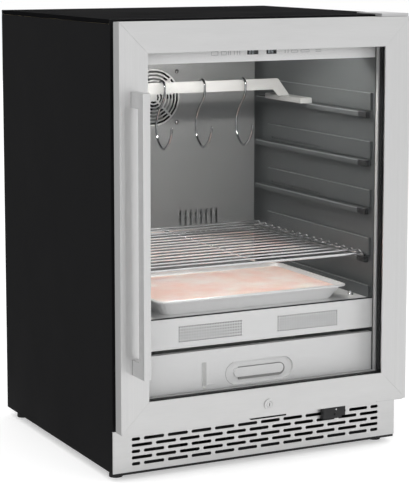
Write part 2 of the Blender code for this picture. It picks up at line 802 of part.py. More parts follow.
def make_fan(prefix, size, bore, length, centre, material):
    """Axial fan: square housing with rear struts, motor and shaft, and the impeller on that shaft."""
    x, y, z = centre
    outline = rectangle(centred(size, x), centred(size, z), size / 16)
    housing = prism(prefix + "_housing", [outline, circle(bore, 36, (x, z))], "Y", (y, y + length))
    strut_y = (y + length - strut_length - sheet, y + length - sheet)
    for turn in (45, 135):
        strut = block("strut", centred(2 * bore + strut_width), centred(strut_length), centred(strut_width))
        strut.data.transform(Matrix.Translation((x, (strut_y[0] + strut_y[1]) / 2, z))
                             @ Matrix.Rotation(math.radians(turn), 4, "Y"))
        housing = fuse(housing, strut)
    motor_front = strut_y[0] - strut_length
    motor = rod("motor", motor_radius, (x, motor_front, z), (x, y + length - sheet / 2, z), 20)
    shaft = rod("shaft", shaft_radius, (x, motor_front - impeller_length + strut_length, z),
                (x, strut_y[1] - strut_length / 2, z), 12)
    housing = fuse(housing, motor, shaft)
    for side_x in (-1, 1):
        for side_z in (-1, 1):
            place = (x + side_x * size * screw_share, z + side_z * size * screw_share)
            hole = rod("hole", stud_radius / 2, (place[0], y - cut_overrun, place[1]),
                       (place[0], y + length + cut_overrun, place[1]), 10, collection=cutters)
            housing = cut(housing, hole)
    paint(housing, material)

    hub_y = (motor_front - seat - impeller_length, motor_front - seat)
    impeller = rod(prefix + "_impeller", impeller_hub_radius, (x, hub_y[0], z), (x, hub_y[1], z), 24)
    reach = bore - impeller_tip_gap
    middle_y = (hub_y[0] + hub_y[1]) / 2
    blade_width = impeller_length * blade_share / math.cos(math.radians(blade_pitch_angle))
    for blade_number in range(blade_count):
        blade = block("blade", (impeller_hub_radius - blade_thickness, reach),
                      centred(blade_thickness), centred(blade_width))
        blade.data.transform(
            Matrix.Translation((x, middle_y, z))
            @ Matrix.Rotation(2 * math.pi * blade_number / blade_count, 4, "Y")
            @ Matrix.Rotation(math.radians(90 - blade_pitch_angle), 4, "X"))
        impeller = fuse(impeller, blade)
    bore_hole = rod("bore", shaft_radius + shaft_clearance,
                    (x, motor_front - impeller_length + strut_length - shaft_clearance, z),
                    (x, hub_y[1] + cut_overrun, z), 12, collection=cutters)
    paint(cut(impeller, bore_hole), material)


coil_passes = 7
coil_margin = 0.0625
coil_half = half_cavity - coil_margin
coil_rise = 0.038
coil_below_fan = 0.057
coil_bottom = platform_height + coil_rise
coil_pitch = (fan_height - fan_size / 2 - coil_below_fan - coil_bottom) / (coil_passes - 1)
tube_radius = 0.004


def serpentine(half_run, pitch, passes, bend_steps=4):
    """Points of a serpentine of straight passes and half-round bends, in U along the passes and V up."""
    points = []
    for number in range(passes):
        direction = 1 if number % 2 == 0 else -1
        level = number * pitch
        points.append((-direction * half_run, level))
        points.append((direction * half_run, level))
        if number < passes - 1:
            for step in range(1, bend_steps):
                angle = math.pi * step / bend_steps - math.pi / 2
                points.append((direction * (half_run + pitch / 2 * math.cos(angle)),
                               level + pitch / 2 + pitch / 2 * math.sin(angle)))
    return points


def make_evaporator():
    """Serpentine cooling tube on the rear wall of the cavity, behind the duct cover."""
    y = behind(cavity_back) - tube_radius - seat
    points = [(u, y, coil_bottom + v) for u, v in serpentine(coil_half, coil_pitch, coil_passes)]
    paint(wire("evaporator_coil", points, tube_radius), cast_aluminium)


# Machine bay
compressor_x = 0.120
bay_offset = 0.0025
compressor_depth = (machine_depth + door_front_to_rear) / 2 - bay_offset
compressor_radius = 0.068
compressor_headroom = 0.052
compressor_height = foam_bottom_rear - compressor_headroom
compressor_foot = 0.010
dome_share = 0.4
base_share = 0.8
compressor_plate = 0.170
compressor_plate_depth = 0.150
condenser_x = (-0.190, 0.020)
condenser_depth = 0.074
condenser_pitch = 0.014
condenser_passes = 6
condenser_fan_size = 0.092
condenser_fan_bore = 0.043
condenser_fan_length = 0.0255
drip_tray_x = (-0.180, 0.015)
drip_tray_depth = (0.400, 0.540)
drip_tray_height = 0.030
plastic_wall = 0.002
bay_floor = foot_height + sheet + seat


def make_compressor():
    """Hermetic compressor: a domed pot on a foot plate."""
    y = behind(compressor_depth)
    base = bay_floor + compressor_foot
    dome = compressor_radius * dome_share
    profile = [(0, base + compressor_height)]
    for step in range(1, 5):
        angle = math.radians(90 * step / 5)
        profile.append((compressor_radius * math.sin(angle),
                        base + compressor_height - dome + dome * math.cos(angle)))
    profile += [
        (compressor_radius, base + compressor_height - dome),
        (compressor_radius, base + dome),
        (compressor_radius * base_share, base), (0, base),
    ]
    pot = turned("compressor", [(r, h) for r, h in profile], (compressor_x, y, 0))
    plate = block("plate", centred(compressor_plate, compressor_x), centred(compressor_plate_depth, y),
                  (base - 2 * sheet, base + sheet))
    pot = fuse(pot, plate)
    for side_x in (-1, 1):
        for side_y in (-1, 1):
            x = compressor_x + side_x * (compressor_plate / 2 - compressor_foot)
            foot_y = y + side_y * (compressor_plate_depth / 2 - compressor_foot)
            grommet = rod("grommet", compressor_foot * base_share, (x, foot_y, bay_floor), (x, foot_y, base), 12)
            pot = fuse(pot, grommet)
    paint(pot, black_paint)


def make_condenser():
    """Condenser tube folded in a serpentine just behind the kick plate, and its fan."""
    middle = (condenser_x[0] + condenser_x[1]) / 2
    half_run = (condenser_x[1] - condenser_x[0]) / 2
    y = behind(condenser_depth)
    lowest = bay_floor + tube_radius
    points = [(middle + u, y, lowest + v)
              for u, v in serpentine(half_run, condenser_pitch, condenser_passes)]
    paint(wire("condenser_coil", points, tube_radius), black_paint)
    fan_y = y + tube_radius + seat
    make_fan("condenser_fan", condenser_fan_size, condenser_fan_bore, condenser_fan_length,
             (middle, fan_y, bay_floor + condenser_fan_size / 2), black_plastic)


def make_drip_tray():
    """Shallow tray that lets melt water evaporate."""
    y = (behind(drip_tray_depth[0]), behind(drip_tray_depth[1]))
    tray = open_tray("evaporation_tray", drip_tray_x, y, (bay_floor, bay_floor + drip_tray_height),
                     "top", plastic_wall)
    paint(tray, white_plastic)


# Control panel, board and light
panel_height = 0.0295
panel_bottom = cavity_top - panel_height
panel_wall = 0.0015
panel_back = 0.112
panel_under = 0.100
panel_front = 0.042
panel_slope = 0.005
board_half = 0.110
board_rise = 0.0075
board_height = 0.017
board_z = (panel_bottom + board_rise, panel_bottom + board_rise + board_height)
board_thickness = 0.0016
light_margin = 0.0675
light_half = half_cavity - light_margin
light_depth = (0.118, 0.134)
light_height = 0.009


def make_control_panel():
    """Folded front and underside, with the board behind its front and the light bar behind it."""
    top = cavity_top - seat
    front = behind(panel_front) + panel_wall / 2
    under = panel_bottom + panel_wall / 2
    path = [(front, top), (front, under), (behind(panel_under), under + panel_slope),
            (behind(panel_back), top)]
    inside = half_cavity - seat
    paint(folded("control_panel", path, "X", (-inside, inside), panel_wall), brushed_steel)
    board_y = behind(panel_front) + panel_wall + seat
    board = block("control_board", (-board_half, board_half), (board_y, board_y + board_thickness), board_z)
    paint(board, green_board)
    light = block("interior_light", (-light_half, light_half),
                  (behind(light_depth[0]), behind(light_depth[1])),
                  (cavity_top - light_height, cavity_top))
    paint(soften(light, light_height / 4), white_plastic)


# Vent fascia, drawer and tray
fascia_height = 0.0558
fascia_bottom = platform_height - fascia_height
fascia_front = 0.042
fascia_return = 0.012
drawer_gap = 0.0090
drawer_top = fascia_bottom - drawer_gap
drawer_front_thickness = 0.012
drawer_front_gap = 0.001
bin_side_gap = 0.0155
bin_half = half_cavity - bin_side_gap
bin_rear_gap = 0.007
bin_rear = step_depth - bin_rear_gap
bin_top_gap = 0.0095
bin_top = drawer_top - bin_top_gap
drawer_height = drawer_top - cavity_floor - drawer_front_gap
pull_width = 0.143
pull_inner_width = 0.104
pull_height_share = 0.583
pull_inner_height_share = 0.238
pull_middle_share = 0.338
pull_size = (pull_width, drawer_height * pull_height_share)
pull_depth = 0.006
pull_inner_size = (pull_inner_width, drawer_height * pull_inner_height_share)
pull_inner_rise = 0.004
pull_x = 0.0025
pull_z = drawer_top - drawer_height * (1 - pull_middle_share)
bead_x = -0.1128
bead_width = 0.009
bead_top_share = 0.715
bead_bottom_share = 0.106
bead_z = (drawer_top - drawer_height * (1 - bead_bottom_share),
          drawer_top - drawer_height * (1 - bead_top_share))
bead_rise = 0.0018


def make_fascia():
    """Folded sheet: lower return, upright vent front, and the platform that the tray stands on."""
    front = behind(fascia_front) + sheet / 2
    top = platform_height - sheet / 2
    low = fascia_bottom + sheet / 2
    path = [(front + fascia_return, low), (front, low), (front, top), (behind(cover_depth) - seat, top)]
    inside = half_cavity - seat
    paint(folded("vent_fascia", path, "X", (-inside, inside)), brushed_steel)


def make_drawer():
    """Drawer front with its pressed pull and bead, and the bin behind it."""
    inside = half_cavity - drawer_front_gap
    y = (behind(fascia_front), behind(fascia_front) + drawer_front_thickness)
    bottom = cavity_floor + drawer_front_gap
    front = block("drawer_front", (-inside, inside), y, (bottom, drawer_top))
    recess = pill_cutter("recess", centred(pull_size[0], pull_x), (y[0] - cut_overrun, y[0] + pull_depth),
                         pull_size[1], pull_z, sides=24)
    front = cut(front, recess)
    boss_y = (y[0] + pull_depth - pull_inner_rise, y[0] + pull_depth + pull_inner_rise / 2)
    boss = pill_cutter("boss", centred(pull_inner_size[0], pull_x), boss_y, pull_inner_size[1], pull_z,
                       sides=16)
    front = fuse(front, boss)
    bead = block("bead", centred(bead_width, bead_x), (y[0] - bead_rise, y[0] + bead_rise), bead_z)
    front = fuse(front, soften(bead, bead_rise / 2))
    paint(front, brushed_steel)
    rear_y = (y[1] + seat, behind(bin_rear))
    tray = open_tray("drawer_bin", (-bin_half, bin_half), rear_y, (cavity_floor + seat, bin_top), "top")
    paint(tray, brushed_steel)


tray_side_gap = 0.0475
tray_depth = 0.275
tray_size = (cavity_width - 2 * tray_side_gap, tray_depth)
tray_front = 0.050
tray_height = 0.0287
tray_taper = 0.017
tray_corner = 0.014
tray_lip = 0.006
salt_below_rim = 0.005
salt_inset = 0.0025


def make_tray():
    """Flat pan with sloping walls, and the bed of salt in it."""
    x = centred(tray_size[0] - 2 * tray_lip)
    y = (behind(tray_front + tray_lip), behind(tray_front + tray_size[1] - tray_lip))
    bottom = platform_height + seat
    z = (bottom, bottom + tray_height)
    pan = open_tray("salt_tray", x, y, z, "top", taper=tray_taper, corner=tray_corner)
    outer = rectangle((x[0] - tray_lip, x[1] + tray_lip), (y[0] - tray_lip, y[1] + tray_lip),
                      tray_corner + tray_lip, steps=3)
    inner = rectangle((x[0] + sheet / 2, x[1] - sheet / 2), (y[0] + sheet / 2, y[1] - sheet / 2),
                      tray_corner, steps=3)
    lip = prism("lip", [outer, inner], "Z", (z[1] - 2 * sheet, z[1]))
    paint(fuse(pan, lip), brushed_steel)

    salt_z = (bottom + sheet + seat, z[1] - salt_below_rim)
    bm = bmesh.new()
    bmesh.ops.create_cube(bm, size=1)
    slope = tray_taper / tray_height
    for point in bm.verts:
        height = salt_z[1] if point.co.z > 0 else salt_z[0]
        inset = slope * (z[1] - height) + sheet + salt_inset
        half_x = (x[1] - x[0]) / 2 - inset
        half_y = (y[1] - y[0]) / 2 - inset
        middle_y = (y[0] + y[1]) / 2
        point.co = (math.copysign(half_x, point.co.x), middle_y + math.copysign(half_y, point.co.y), height)
    uprights = [edge for edge in bm.edges
                if abs(edge.verts[0].co.z - edge.verts[1].co.z) > salt_below_rim]
    bmesh.ops.bevel(bm, geom=uprights, offset=tray_corner, segments=3, profile=0.5, affect="EDGES")
    paint(from_bmesh("salt_bed", bm), pink_salt)


# Wire shelf
shelf_side_gap = 0.009
shelf_half = half_cavity - shelf_side_gap
shelf_front = 0.050
shelf_rear_gap = 0.014
shelf_rear = cover_depth - shelf_rear_gap
shelf_rod_radius = 0.0028
shelf_wire_radius = 0.00175
shelf_wires = 15
shelf_wire_first = 0.062
shelf_wire_pitch = 0.0285
shelf_deck_rise = 0.0105
shelf_front_rise = 0.005
shelf_end_run = 0.010
shelf_level = 3


def make_wire_shelf():
    """Frame of thick rod with cross wires whose ends bend down on to it, and one middle stay."""
    rod_z = ledge_place(shelf_level) + seat + shelf_rod_radius
    front, rear = behind(shelf_front), behind(shelf_rear)
    corner = 4 * shelf_rod_radius
    loop = []
    for u, v in rectangle((-shelf_half, shelf_half), (front, rear), corner, steps=3):
        lift = shelf_front_rise if v < front + corner / 2 else 0
        loop.append((u, v, rod_z + lift))
    shelf = wire("wire_shelf", loop, shelf_rod_radius, closed=True)
    deck_z = rod_z + shelf_deck_rise
    low_z = rod_z + shelf_rod_radius / 2
    wires = []
    for number in range(shelf_wires):
        y = behind(shelf_wire_first + number * shelf_wire_pitch)
        inner = shelf_half - shelf_end_run
        points = [(-shelf_half, y, low_z), (-inner, y, deck_z), (inner, y, deck_z), (shelf_half, y, low_z)]
        wires.append(wire("wire", points, shelf_wire_radius))
    shelf = fuse(shelf, joined("wires", wires))
    stay_z = deck_z - 1.5 * shelf_wire_radius
    stay_rise = shelf_front_rise + shelf_rod_radius / 2
    stay = wire("stay", [(0, front, rod_z + stay_rise), (0, front + shelf_end_run, stay_z),
                         (0, rear - shelf_end_run, stay_z), (0, rear, rod_z + shelf_rod_radius / 2)],
                shelf_wire_radius)
    paint(fuse(shelf, stay), bright_wire)


# Hanger bar and hooks
bar_depth = 0.345
bar_thickness = 0.003
bar_height = 0.022
bar_rise = 0.0453
bar_top = ledge_top + bar_rise
bar_end_gap = 0.051
bar_half = half_cavity - bar_end_gap
arm_drop_run = 0.026
hanger_foot_width = 0.026
hanger_foot_gap = 0.006
hanger_foot_x = (half_cavity - hanger_foot_gap - hanger_foot_width, half_cavity - hanger_foot_gap)
hanger_foot_length = 0.145
hanger_foot_front = 0.266
hanger_foot_height = 0.0105
hanger_wall = 0.002
hook_xs = (-0.0512, 0.0361, 0.1272)
hook_wire_radius = 0.0023
hook_loop_radius = 0.0134
hook_loop_offset = 0.0005
hook_loop_drop = 0.0103
hook_loop_steps = 8
hook_tail_angle = -35
hook_front_angle = 175
hook_line = [
    (-0.0090, -0.0305), (0.0126, -0.0553), (0.0249, -0.0794), (0.0234, -0.1057), (0.0126, -0.1211),
    (-0.0075, -0.1305), (-0.0303, -0.1167), (-0.0409, -0.0994), (-0.0444, -0.0877),
]


def make_hanger():
    """Flat bar whose cranked ends stand on two channel feet that rest on the top ledges."""
    y = centred(bar_thickness, behind(bar_depth))
    foot_bottom = ledge_place(0) + seat
    foot_top = foot_bottom + hanger_foot_height
    drop = bar_top - bar_height - foot_top
    reach = bar_half + drop + arm_drop_run
    outline = [
        (-reach, foot_top - hanger_wall / 2), (-bar_half - drop, foot_top - hanger_wall / 2),
        (-bar_half, bar_top - bar_height), (bar_half, bar_top - bar_height),
        (bar_half + drop, foot_top - hanger_wall / 2), (reach, foot_top - hanger_wall / 2),
        (bar_half + bar_height / 2, bar_top), (-bar_half - bar_height / 2, bar_top),
    ]
    bar = prism("hanger_bar", [outline], "Y", y)
    foot_y = (behind(hanger_foot_front), behind(hanger_foot_front) + hanger_foot_length)
    for side in (-1, 1):
        x = tuple(sorted(side * value for value in hanger_foot_x))
        foot = open_tray("foot", x, foot_y, (foot_bottom, foot_top), "bottom", hanger_wall)
        bar = fuse(bar, foot)
    paint(bar, brushed_steel)


def smoothed(points, steps=2):
    """Points of a smooth curve that passes through all the given points."""
    line = [points[0], *points, points[-1]]
    result = []
    for before, start, end, after in zip(line, line[1:], line[2:], line[3:]):
        for step in range(steps):
            t = step / steps
            result.append(tuple(
                b + t / 2 * (c - a) + t * t * (a - 2.5 * b + 2 * c - d / 2)
                + t * t * t * (1.5 * (b - c) + (d - a) / 2)
                for a, b, c, d in zip(before, start, end, after)))
    return result + [points[-1]]


def hook_points():
    """Mid-line of a hook in Y and Z about the bar's top edge, turned until it hangs in balance."""
    loop = []
    for step in range(hook_loop_steps + 1):
        angle = math.radians(hook_tail_angle + (hook_front_angle - hook_tail_angle) * step / hook_loop_steps)
        loop.append((hook_loop_offset + hook_loop_radius * math.cos(angle),
                     hook_loop_radius * math.sin(angle) - hook_loop_drop))
    points = [Vector(point) for point in loop[:-1] + smoothed([loop[-1]] + hook_line)]
    length = 0
    moment = Vector((0, 0))
    for start, end in zip(points, points[1:]):
        run = (end - start).length
        length += run
        moment += (start + end) / 2 * run
    centroid = moment / length
    turn = Matrix.Rotation(-math.atan2(centroid.x, -centroid.y), 2)
    return [turn @ point for point in points]


def make_hooks():
    """Three S-hooks over the bar."""
    for number, x in enumerate(hook_xs, 1):
        points = [(x, behind(bar_depth) + y, bar_top + z) for y, z in hook_points()]
        paint(wire(f"meat_hook_{number}", points, hook_wire_radius), bright_wire)


# Door
door_shell_depth = 0.024
door_sheet = 0.0012
door_lip = 0.003
door_rear = 0.032
glass_thickness = 0.004
glass_inset = 0.0463
spacer_cover = 0.0003
spacer_inset = door_border + spacer_cover
core_outer_inset = 0.006
mitre_gap = 0.0002
hinge_inset = 0.012
hinge_x = half_width - hinge_inset
hinge_depth = 0.018
pin_radius = 0.004
pin_clearance = 0.0004
pin_length = 0.016
bracket_front_depth = 0.004
bracket_rear_depth = 0.092
bracket_thickness = 0.0022
bracket_leaf = 0.010
bracket_width = 0.058
bracket_inset = 0.003
bracket_x = (half_width - bracket_inset - bracket_width, half_width - bracket_inset)


def door_rectangle(inset):
    """Outline of the door, smaller all round by an inset."""
    return rectangle((-half_width + inset, half_width - inset), (door_bottom + inset, door_top - inset))


def hinge_bore(extra=pin_clearance):
    """Cutter for both hinge pins."""
    x, y = hinge_x, behind(hinge_depth)
    low = rod("low", pin_radius + extra, (x, y, door_bottom - cut_overrun),
              (x, y, door_bottom + pin_length + seat), 16, collection=cutters)
    high = rod("high", pin_radius + extra, (x, y, door_top - pin_length - seat),
               (x, y, door_top + cut_overrun), 16, collection=cutters)
    return joined("bores", [low, high], cutters)


def lock_bore():
    """Cutter for the lock's barrel."""
    return rod("bore", barrel_radius + seat, (0, door_front - cut_overrun, lock_height),
               (0, behind(door_rear) + cut_overrun, lock_height), 24, collection=cutters)


def mitred(name, length_axis, length, place):
    """One folded profile of the door's skin, cut at 45 degrees at both ends."""
    t = door_sheet
    section = [
        (0, door_shell_depth), (0, 0), (door_border, 0), (door_border, door_lip),
        (door_border - t, door_lip), (door_border - t, t), (t, t), (t, door_shell_depth),
    ]
    bar = prism(name, [section], "Z", (-length / 2, length / 2))
    bm = bmesh.new()
    bm.from_mesh(bar.data)
    for end in (-1, 1):
        normal = Vector((1, 0, end)).normalized()
        corner = Vector((0, 0, end * (length / 2 - mitre_gap)))
        result = bmesh.ops.bisect_plane(bm, geom=bm.verts[:] + bm.edges[:] + bm.faces[:], dist=weld / 2,
                                        plane_co=corner, plane_no=normal, clear_outer=True)
        rim = [item for item in result["geom_cut"] if isinstance(item, bmesh.types.BMEdge)]
        bmesh.ops.edgeloop_fill(bm, edges=rim)
    turns = {
        "left": Matrix.Identity(4),
        "right": Matrix.Rotation(math.pi, 4, "Z") @ Matrix.Scale(-1, 4, (0, 1, 0)),
        "bottom": Matrix.Rotation(math.radians(-90), 4, "Y"),
        "top": Matrix.Rotation(math.radians(90), 4, "Y"),
    }
    bmesh.ops.transform(bm, matrix=Matrix.Translation(place) @ turns[length_axis], verts=bm.verts)
    bpy.data.objects.remove(bar, do_unlink=True)
    return from_bmesh(name, bm)


def make_door_skin():
    """Two stiles and two rails of folded stainless profile with mitred corners."""
    height = door_top - door_bottom
    middle_z = (door_top + door_bottom) / 2
    left = mitred("door_stile_left", "left", height, (-half_width, door_front, middle_z))
    right = mitred("door_stile_right", "right", height, (half_width, door_front, middle_z))
    bottom = mitred("door_rail_bottom", "bottom", overall_width, (0, door_front, door_bottom))
    top = mitred("door_rail_top", "top", overall_width, (0, door_front, door_top))
    paint(left, brushed_steel)
    paint(cut(right, hinge_bore()), brushed_steel)
    paint(cut(bottom, hinge_bore(), lock_bore()), brushed_steel)
    paint(cut(top, hinge_bore()), brushed_steel)


def make_door_core():
    """Moulded ring that fills the skin, holds the glass and carries the gasket."""
    front_y = (behind(door_sheet + seat), behind(door_shell_depth))
    core = prism("door_core", [door_rectangle(door_sheet + seat), door_rectangle(glass_inset - seat)],
                 "Y", front_y)
    rear = prism("rear", [door_rectangle(core_outer_inset), door_rectangle(door_border)], "Y",
                 (behind(door_shell_depth - sheet), behind(door_rear)))
    glass_room = block("glass_room", (-half_width + glass_inset - seat, half_width - glass_inset + seat),
                       (door_front, behind(door_shell_depth)),
                       (door_bottom + glass_inset - seat, door_top - glass_inset + seat), cutters)
    rear = cut(rear, glass_room)
    core = fuse(core, rear)
    core = cut(core, hinge_bore(), lock_bore())
    paint(core, black_plastic)


def make_glass():
    """Outer and inner pane with the spacer between them."""
    outer_y = (behind(door_lip + seat), behind(door_lip + seat) + glass_thickness)
    inner_y = (behind(door_shell_depth - seat) - glass_thickness, behind(door_shell_depth - seat))
    paint(prism("glass_outer", [door_rectangle(glass_inset)], "Y", outer_y), clear_glass)
    paint(prism("glass_inner", [door_rectangle(glass_inset)], "Y", inner_y), clear_glass)
    spacer = prism("glass_spacer", [door_rectangle(glass_inset), door_rectangle(spacer_inset)], "Y",
                   (outer_y[1] + seat, inner_y[0] - seat))
    paint(spacer, black_plastic)


gasket_inset = 0.015
gasket_width = 0.018
gasket_bottom_inset = 0.034
gasket_groove = 0.0015


def make_gasket():
    """Magnetic gasket between the door and the front frame, with a groove round its sealing face."""
    def outline(inset):
        """Rectangle whose lower side lies higher than the others."""
        return rectangle((-half_width + gasket_inset + inset, half_width - gasket_inset - inset),
                         (door_bottom + gasket_bottom_inset + inset, door_top - gasket_inset - inset))

    y = (behind(door_rear) + seat, body_front - seat)
    gasket = prism("door_gasket", [outline(0), outline(gasket_width)], "Y", y)
    third = gasket_width / 3
    groove = prism("groove", [outline(third), outline(2 * third)], "Y",
                   (y[1] - gasket_groove, y[1] + cut_overrun), cutters)
    paint(cut(gasket, groove), black_rubber)


handle_inset = 0.0216
handle_width = 0.014
handle_x = (handle_inset - half_width, handle_inset + handle_width - half_width)
handle_bottom_rise = 0.107
handle_top_drop = 0.1195
handle_z = (door_bottom + handle_bottom_rise, door_top - handle_top_drop)
handle_bar_depth = 0.0215
handle_post = 0.028
handle_edge = 0.0012


def make_handle():
    """Square bar handle with a post at each end."""
    front, back = behind(-handle_reach), behind(-seat)
    inner = front + handle_bar_depth
    outline = [
        (front, handle_z[0]), (back, handle_z[0]), (back, handle_z[0] + handle_post),
        (inner, handle_z[0] + handle_post), (inner, handle_z[1] - handle_post),
        (back, handle_z[1] - handle_post), (back, handle_z[1]), (front, handle_z[1]),
    ]
    paint(soften(prism("door_handle", [outline], "X", handle_x), handle_edge), brushed_steel)


barrel_radius = 0.0085
lock_ring_radius = 0.0105
lock_ring_rise = 0.0015
plug_radius = 0.0055
plug_clearance = 0.0004
keyway_width = 0.0012
keyway_height = 0.006
keyway_depth = 0.006
cam_gap = 0.001
plug_shaft_radius = 0.003
lock_cover_half = 0.0365
lock_cover_height = 0.003
lock_cover_depth = (0.0008, 0.0200)


def make_lock():
    """Barrel with its ring, the plug that turns in it, and the cover strip under the door."""
    front = door_front - seat
    profile_rear = behind(door_rear)
    barrel = rod("lock_barrel", barrel_radius, (0, front - lock_ring_rise, lock_height),
                 (0, profile_rear, lock_height), 24)
    ring = rod("ring", lock_ring_radius, (0, front - lock_ring_rise, lock_height),
               (0, front, lock_height), 24)
    bore = rod("bore", plug_radius + plug_clearance, (0, front - cut_overrun, lock_height),
               (0, profile_rear + cut_overrun, lock_height), 20, collection=cutters)
    barrel = cut(fuse(barrel, ring), bore)
    paint(barrel, bright_wire)

    cam_y = (body_front + frame_thickness + cam_gap, body_front + frame_thickness + cam_gap + cam_thickness)
    plug = rod("lock_plug", plug_radius, (0, front - lock_ring_rise, lock_height),
               (0, profile_rear + cam_gap, lock_height), 20)
    shaft = rod("shaft", plug_shaft_radius, (0, profile_rear, lock_height), (0, cam_y[1], lock_height), 12)
    cam = block("cam", (-cam_width / 2, cam_length), cam_y, centred(cam_width, lock_height))
    keyway = block("keyway", centred(keyway_width), (front - cut_overrun, front + keyway_depth),
                   centred(keyway_height, lock_height), cutters)
    paint(cut(fuse(plug, shaft, cam), keyway), bright_wire)

    cover = block("lock_cover", (-lock_cover_half, lock_cover_half),
                  (behind(lock_cover_depth[0]), behind(lock_cover_depth[1])),
                  (door_bottom - seat - lock_cover_height, door_bottom - seat))
    paint(cover, black_plastic)


def make_hinges():
    """Top bracket over the lid and bottom bracket on the kick plate, each with its pin."""
    x, y = hinge_x, behind(hinge_depth)
    top_z = cabinet_height + seat
    hub_bottom = door_top + seat
    plate = block("top_hinge_bracket", bracket_x, (behind(bracket_front_depth), behind(bracket_rear_depth)),
                  (top_z, top_z + bracket_thickness))
    nose = block("nose", bracket_x, (behind(bracket_front_depth), behind(door_shell_depth + door_lip)),
                 (hub_bottom, top_z + bracket_thickness))
    pin = rod("pin", pin_radius, (x, y, door_top - pin_length), (x, y, top_z), 16)
    paint(fuse(plate, nose, pin), brushed_steel)

    low_z = (door_bottom - seat - bracket_thickness, door_bottom - seat)
    arm = block("bottom_hinge_bracket", bracket_x, (behind(bracket_front_depth), body_front - seat), low_z)
    leaf = block("leaf", bracket_x, (body_front - seat - bracket_thickness, body_front - seat),
                 (low_z[1] - bracket_leaf, low_z[1]))
    low_pin = rod("pin", pin_radius, (x, y, low_z[0]), (x, y, door_bottom + pin_length), 16)
    paint(fuse(arm, leaf, low_pin), brushed_steel)


def make_all():
    """Make every piece."""
    make_side_panels()
    make_top_panel()
    make_rear_panels()
    make_mains_inlet()
    make_base()
    make_kick_plate()
    make_door_sensor()
    make_front_frame()
    make_insulation()
    make_liner()
    make_duct_cover()
    make_fan_grille()
    make_fan("fan", fan_size, fan_bore, fan_length, (0, behind(fan_front), fan_height), black_plastic)
    make_evaporator()
    make_compressor()
    make_condenser()
    make_drip_tray()
    make_control_panel()
    make_fascia()
    make_drawer()
    make_tray()
    make_wire_shelf()
    make_hanger()
    make_hooks()
    make_door_skin()
    make_door_core()
    make_glass()
    make_gasket()
    make_handle()
    make_lock()
    make_hinges()


make_all()
triangles = 0
for part in parts.objects:
    part.data.calc_loop_triangles()
    triangles += len(part.data.loop_triangles)
print(f"{len(parts.objects)} pieces, {triangles} triangles")
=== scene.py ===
# %% [markdown]
# # A dry aging cabinet with a glass door
#
# Food ages in this cabinet for weeks in cool, moving air. Its door is a frame of brushed steel
# round a double pane, its case is black painted sheet, and inside are a hanger bar with hooks, a
# wire shelf and a tray of salt. The solid pieces come ready made from the CAD model. This file
# gives each of them its finish, adds the small things that a solid model leaves out, and sets up
# the lamps and the camera. The first cell loads the solids, measures them and keeps their box.

# %% Load the cabinet's solids
import math

import bmesh
import bpy
from mathutils import Matrix, Vector


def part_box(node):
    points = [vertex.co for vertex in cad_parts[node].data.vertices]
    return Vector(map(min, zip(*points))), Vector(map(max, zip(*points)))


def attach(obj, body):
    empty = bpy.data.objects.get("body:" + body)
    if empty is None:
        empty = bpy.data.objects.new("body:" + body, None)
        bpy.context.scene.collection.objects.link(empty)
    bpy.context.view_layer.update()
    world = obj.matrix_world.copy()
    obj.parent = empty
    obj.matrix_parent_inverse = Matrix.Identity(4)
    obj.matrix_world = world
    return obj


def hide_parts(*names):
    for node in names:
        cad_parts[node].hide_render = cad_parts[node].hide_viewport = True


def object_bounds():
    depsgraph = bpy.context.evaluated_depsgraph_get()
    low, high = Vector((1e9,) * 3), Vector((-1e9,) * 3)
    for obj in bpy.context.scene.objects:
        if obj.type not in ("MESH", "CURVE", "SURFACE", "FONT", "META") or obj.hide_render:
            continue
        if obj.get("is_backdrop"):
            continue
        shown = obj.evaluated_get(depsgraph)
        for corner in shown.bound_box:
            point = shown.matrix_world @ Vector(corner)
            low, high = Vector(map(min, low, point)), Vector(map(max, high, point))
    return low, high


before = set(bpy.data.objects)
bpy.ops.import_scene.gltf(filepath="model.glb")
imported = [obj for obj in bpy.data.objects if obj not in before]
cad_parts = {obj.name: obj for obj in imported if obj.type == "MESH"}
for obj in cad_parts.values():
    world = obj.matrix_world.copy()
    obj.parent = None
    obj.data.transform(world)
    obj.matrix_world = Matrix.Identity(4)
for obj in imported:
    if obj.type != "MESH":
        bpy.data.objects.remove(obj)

cad_low, cad_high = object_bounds()
print("cabinet, mm:", [round(1000 * (high - low), 1) for low, high in zip(cad_low, cad_high)])

# %% [markdown]
# ## The camera
#
# The photograph looks at the front and the left side from a little above the cabinet. A long lens
# from three and a half metres gives the same calm lines. The picture is taken a touch from above
# with a small lens shift, so the uprights stay nearly upright and other views still fit the frame.

# %% Set up the camera
look_down, turn_right = 0.13363, 0.46966  # radians
camera_data = bpy.data.cameras.new("catalogue_camera")
camera_data.lens = 130.363
camera_data.shift_y = -0.12
camera = bpy.data.objects.new("catalogue_camera", camera_data)
camera.location = (-1.5386, -3.0290, 0.9496)
camera.rotation_euler = (math.pi / 2 - look_down, 0, -turn_right)
bpy.context.scene.collection.objects.link(camera)
bpy.context.scene.camera = camera
print("camera at", [round(value, 3) for value in camera.location])

# %% [markdown]
# ## Helpers for colours and nodes
#
# Blender mixes light in linear values, while a paint chart or a screen gives numbers from 0 to 255
# that are bent for the eye. One small helper turns the second kind into the first, so that every
# finish below can be written in numbers that look like what they make. The other helpers add
# nodes, so that each material reads as a short list of what it does.

# %% Read colours and add nodes
bpy.context.scene.view_settings.view_transform = "Standard"


def chart(red, green=None, blue=None):
    """A colour given in chart numbers, 0 to 255, as Blender's linear colour."""
    numbers = (red, red, red) if green is None else (red, green, blue)
    linear = [(n / 255 / 12.92) if n < 11 else ((n / 255 + 0.055) / 1.055) ** 2.4 for n in numbers]
    return (*linear, 1.0)


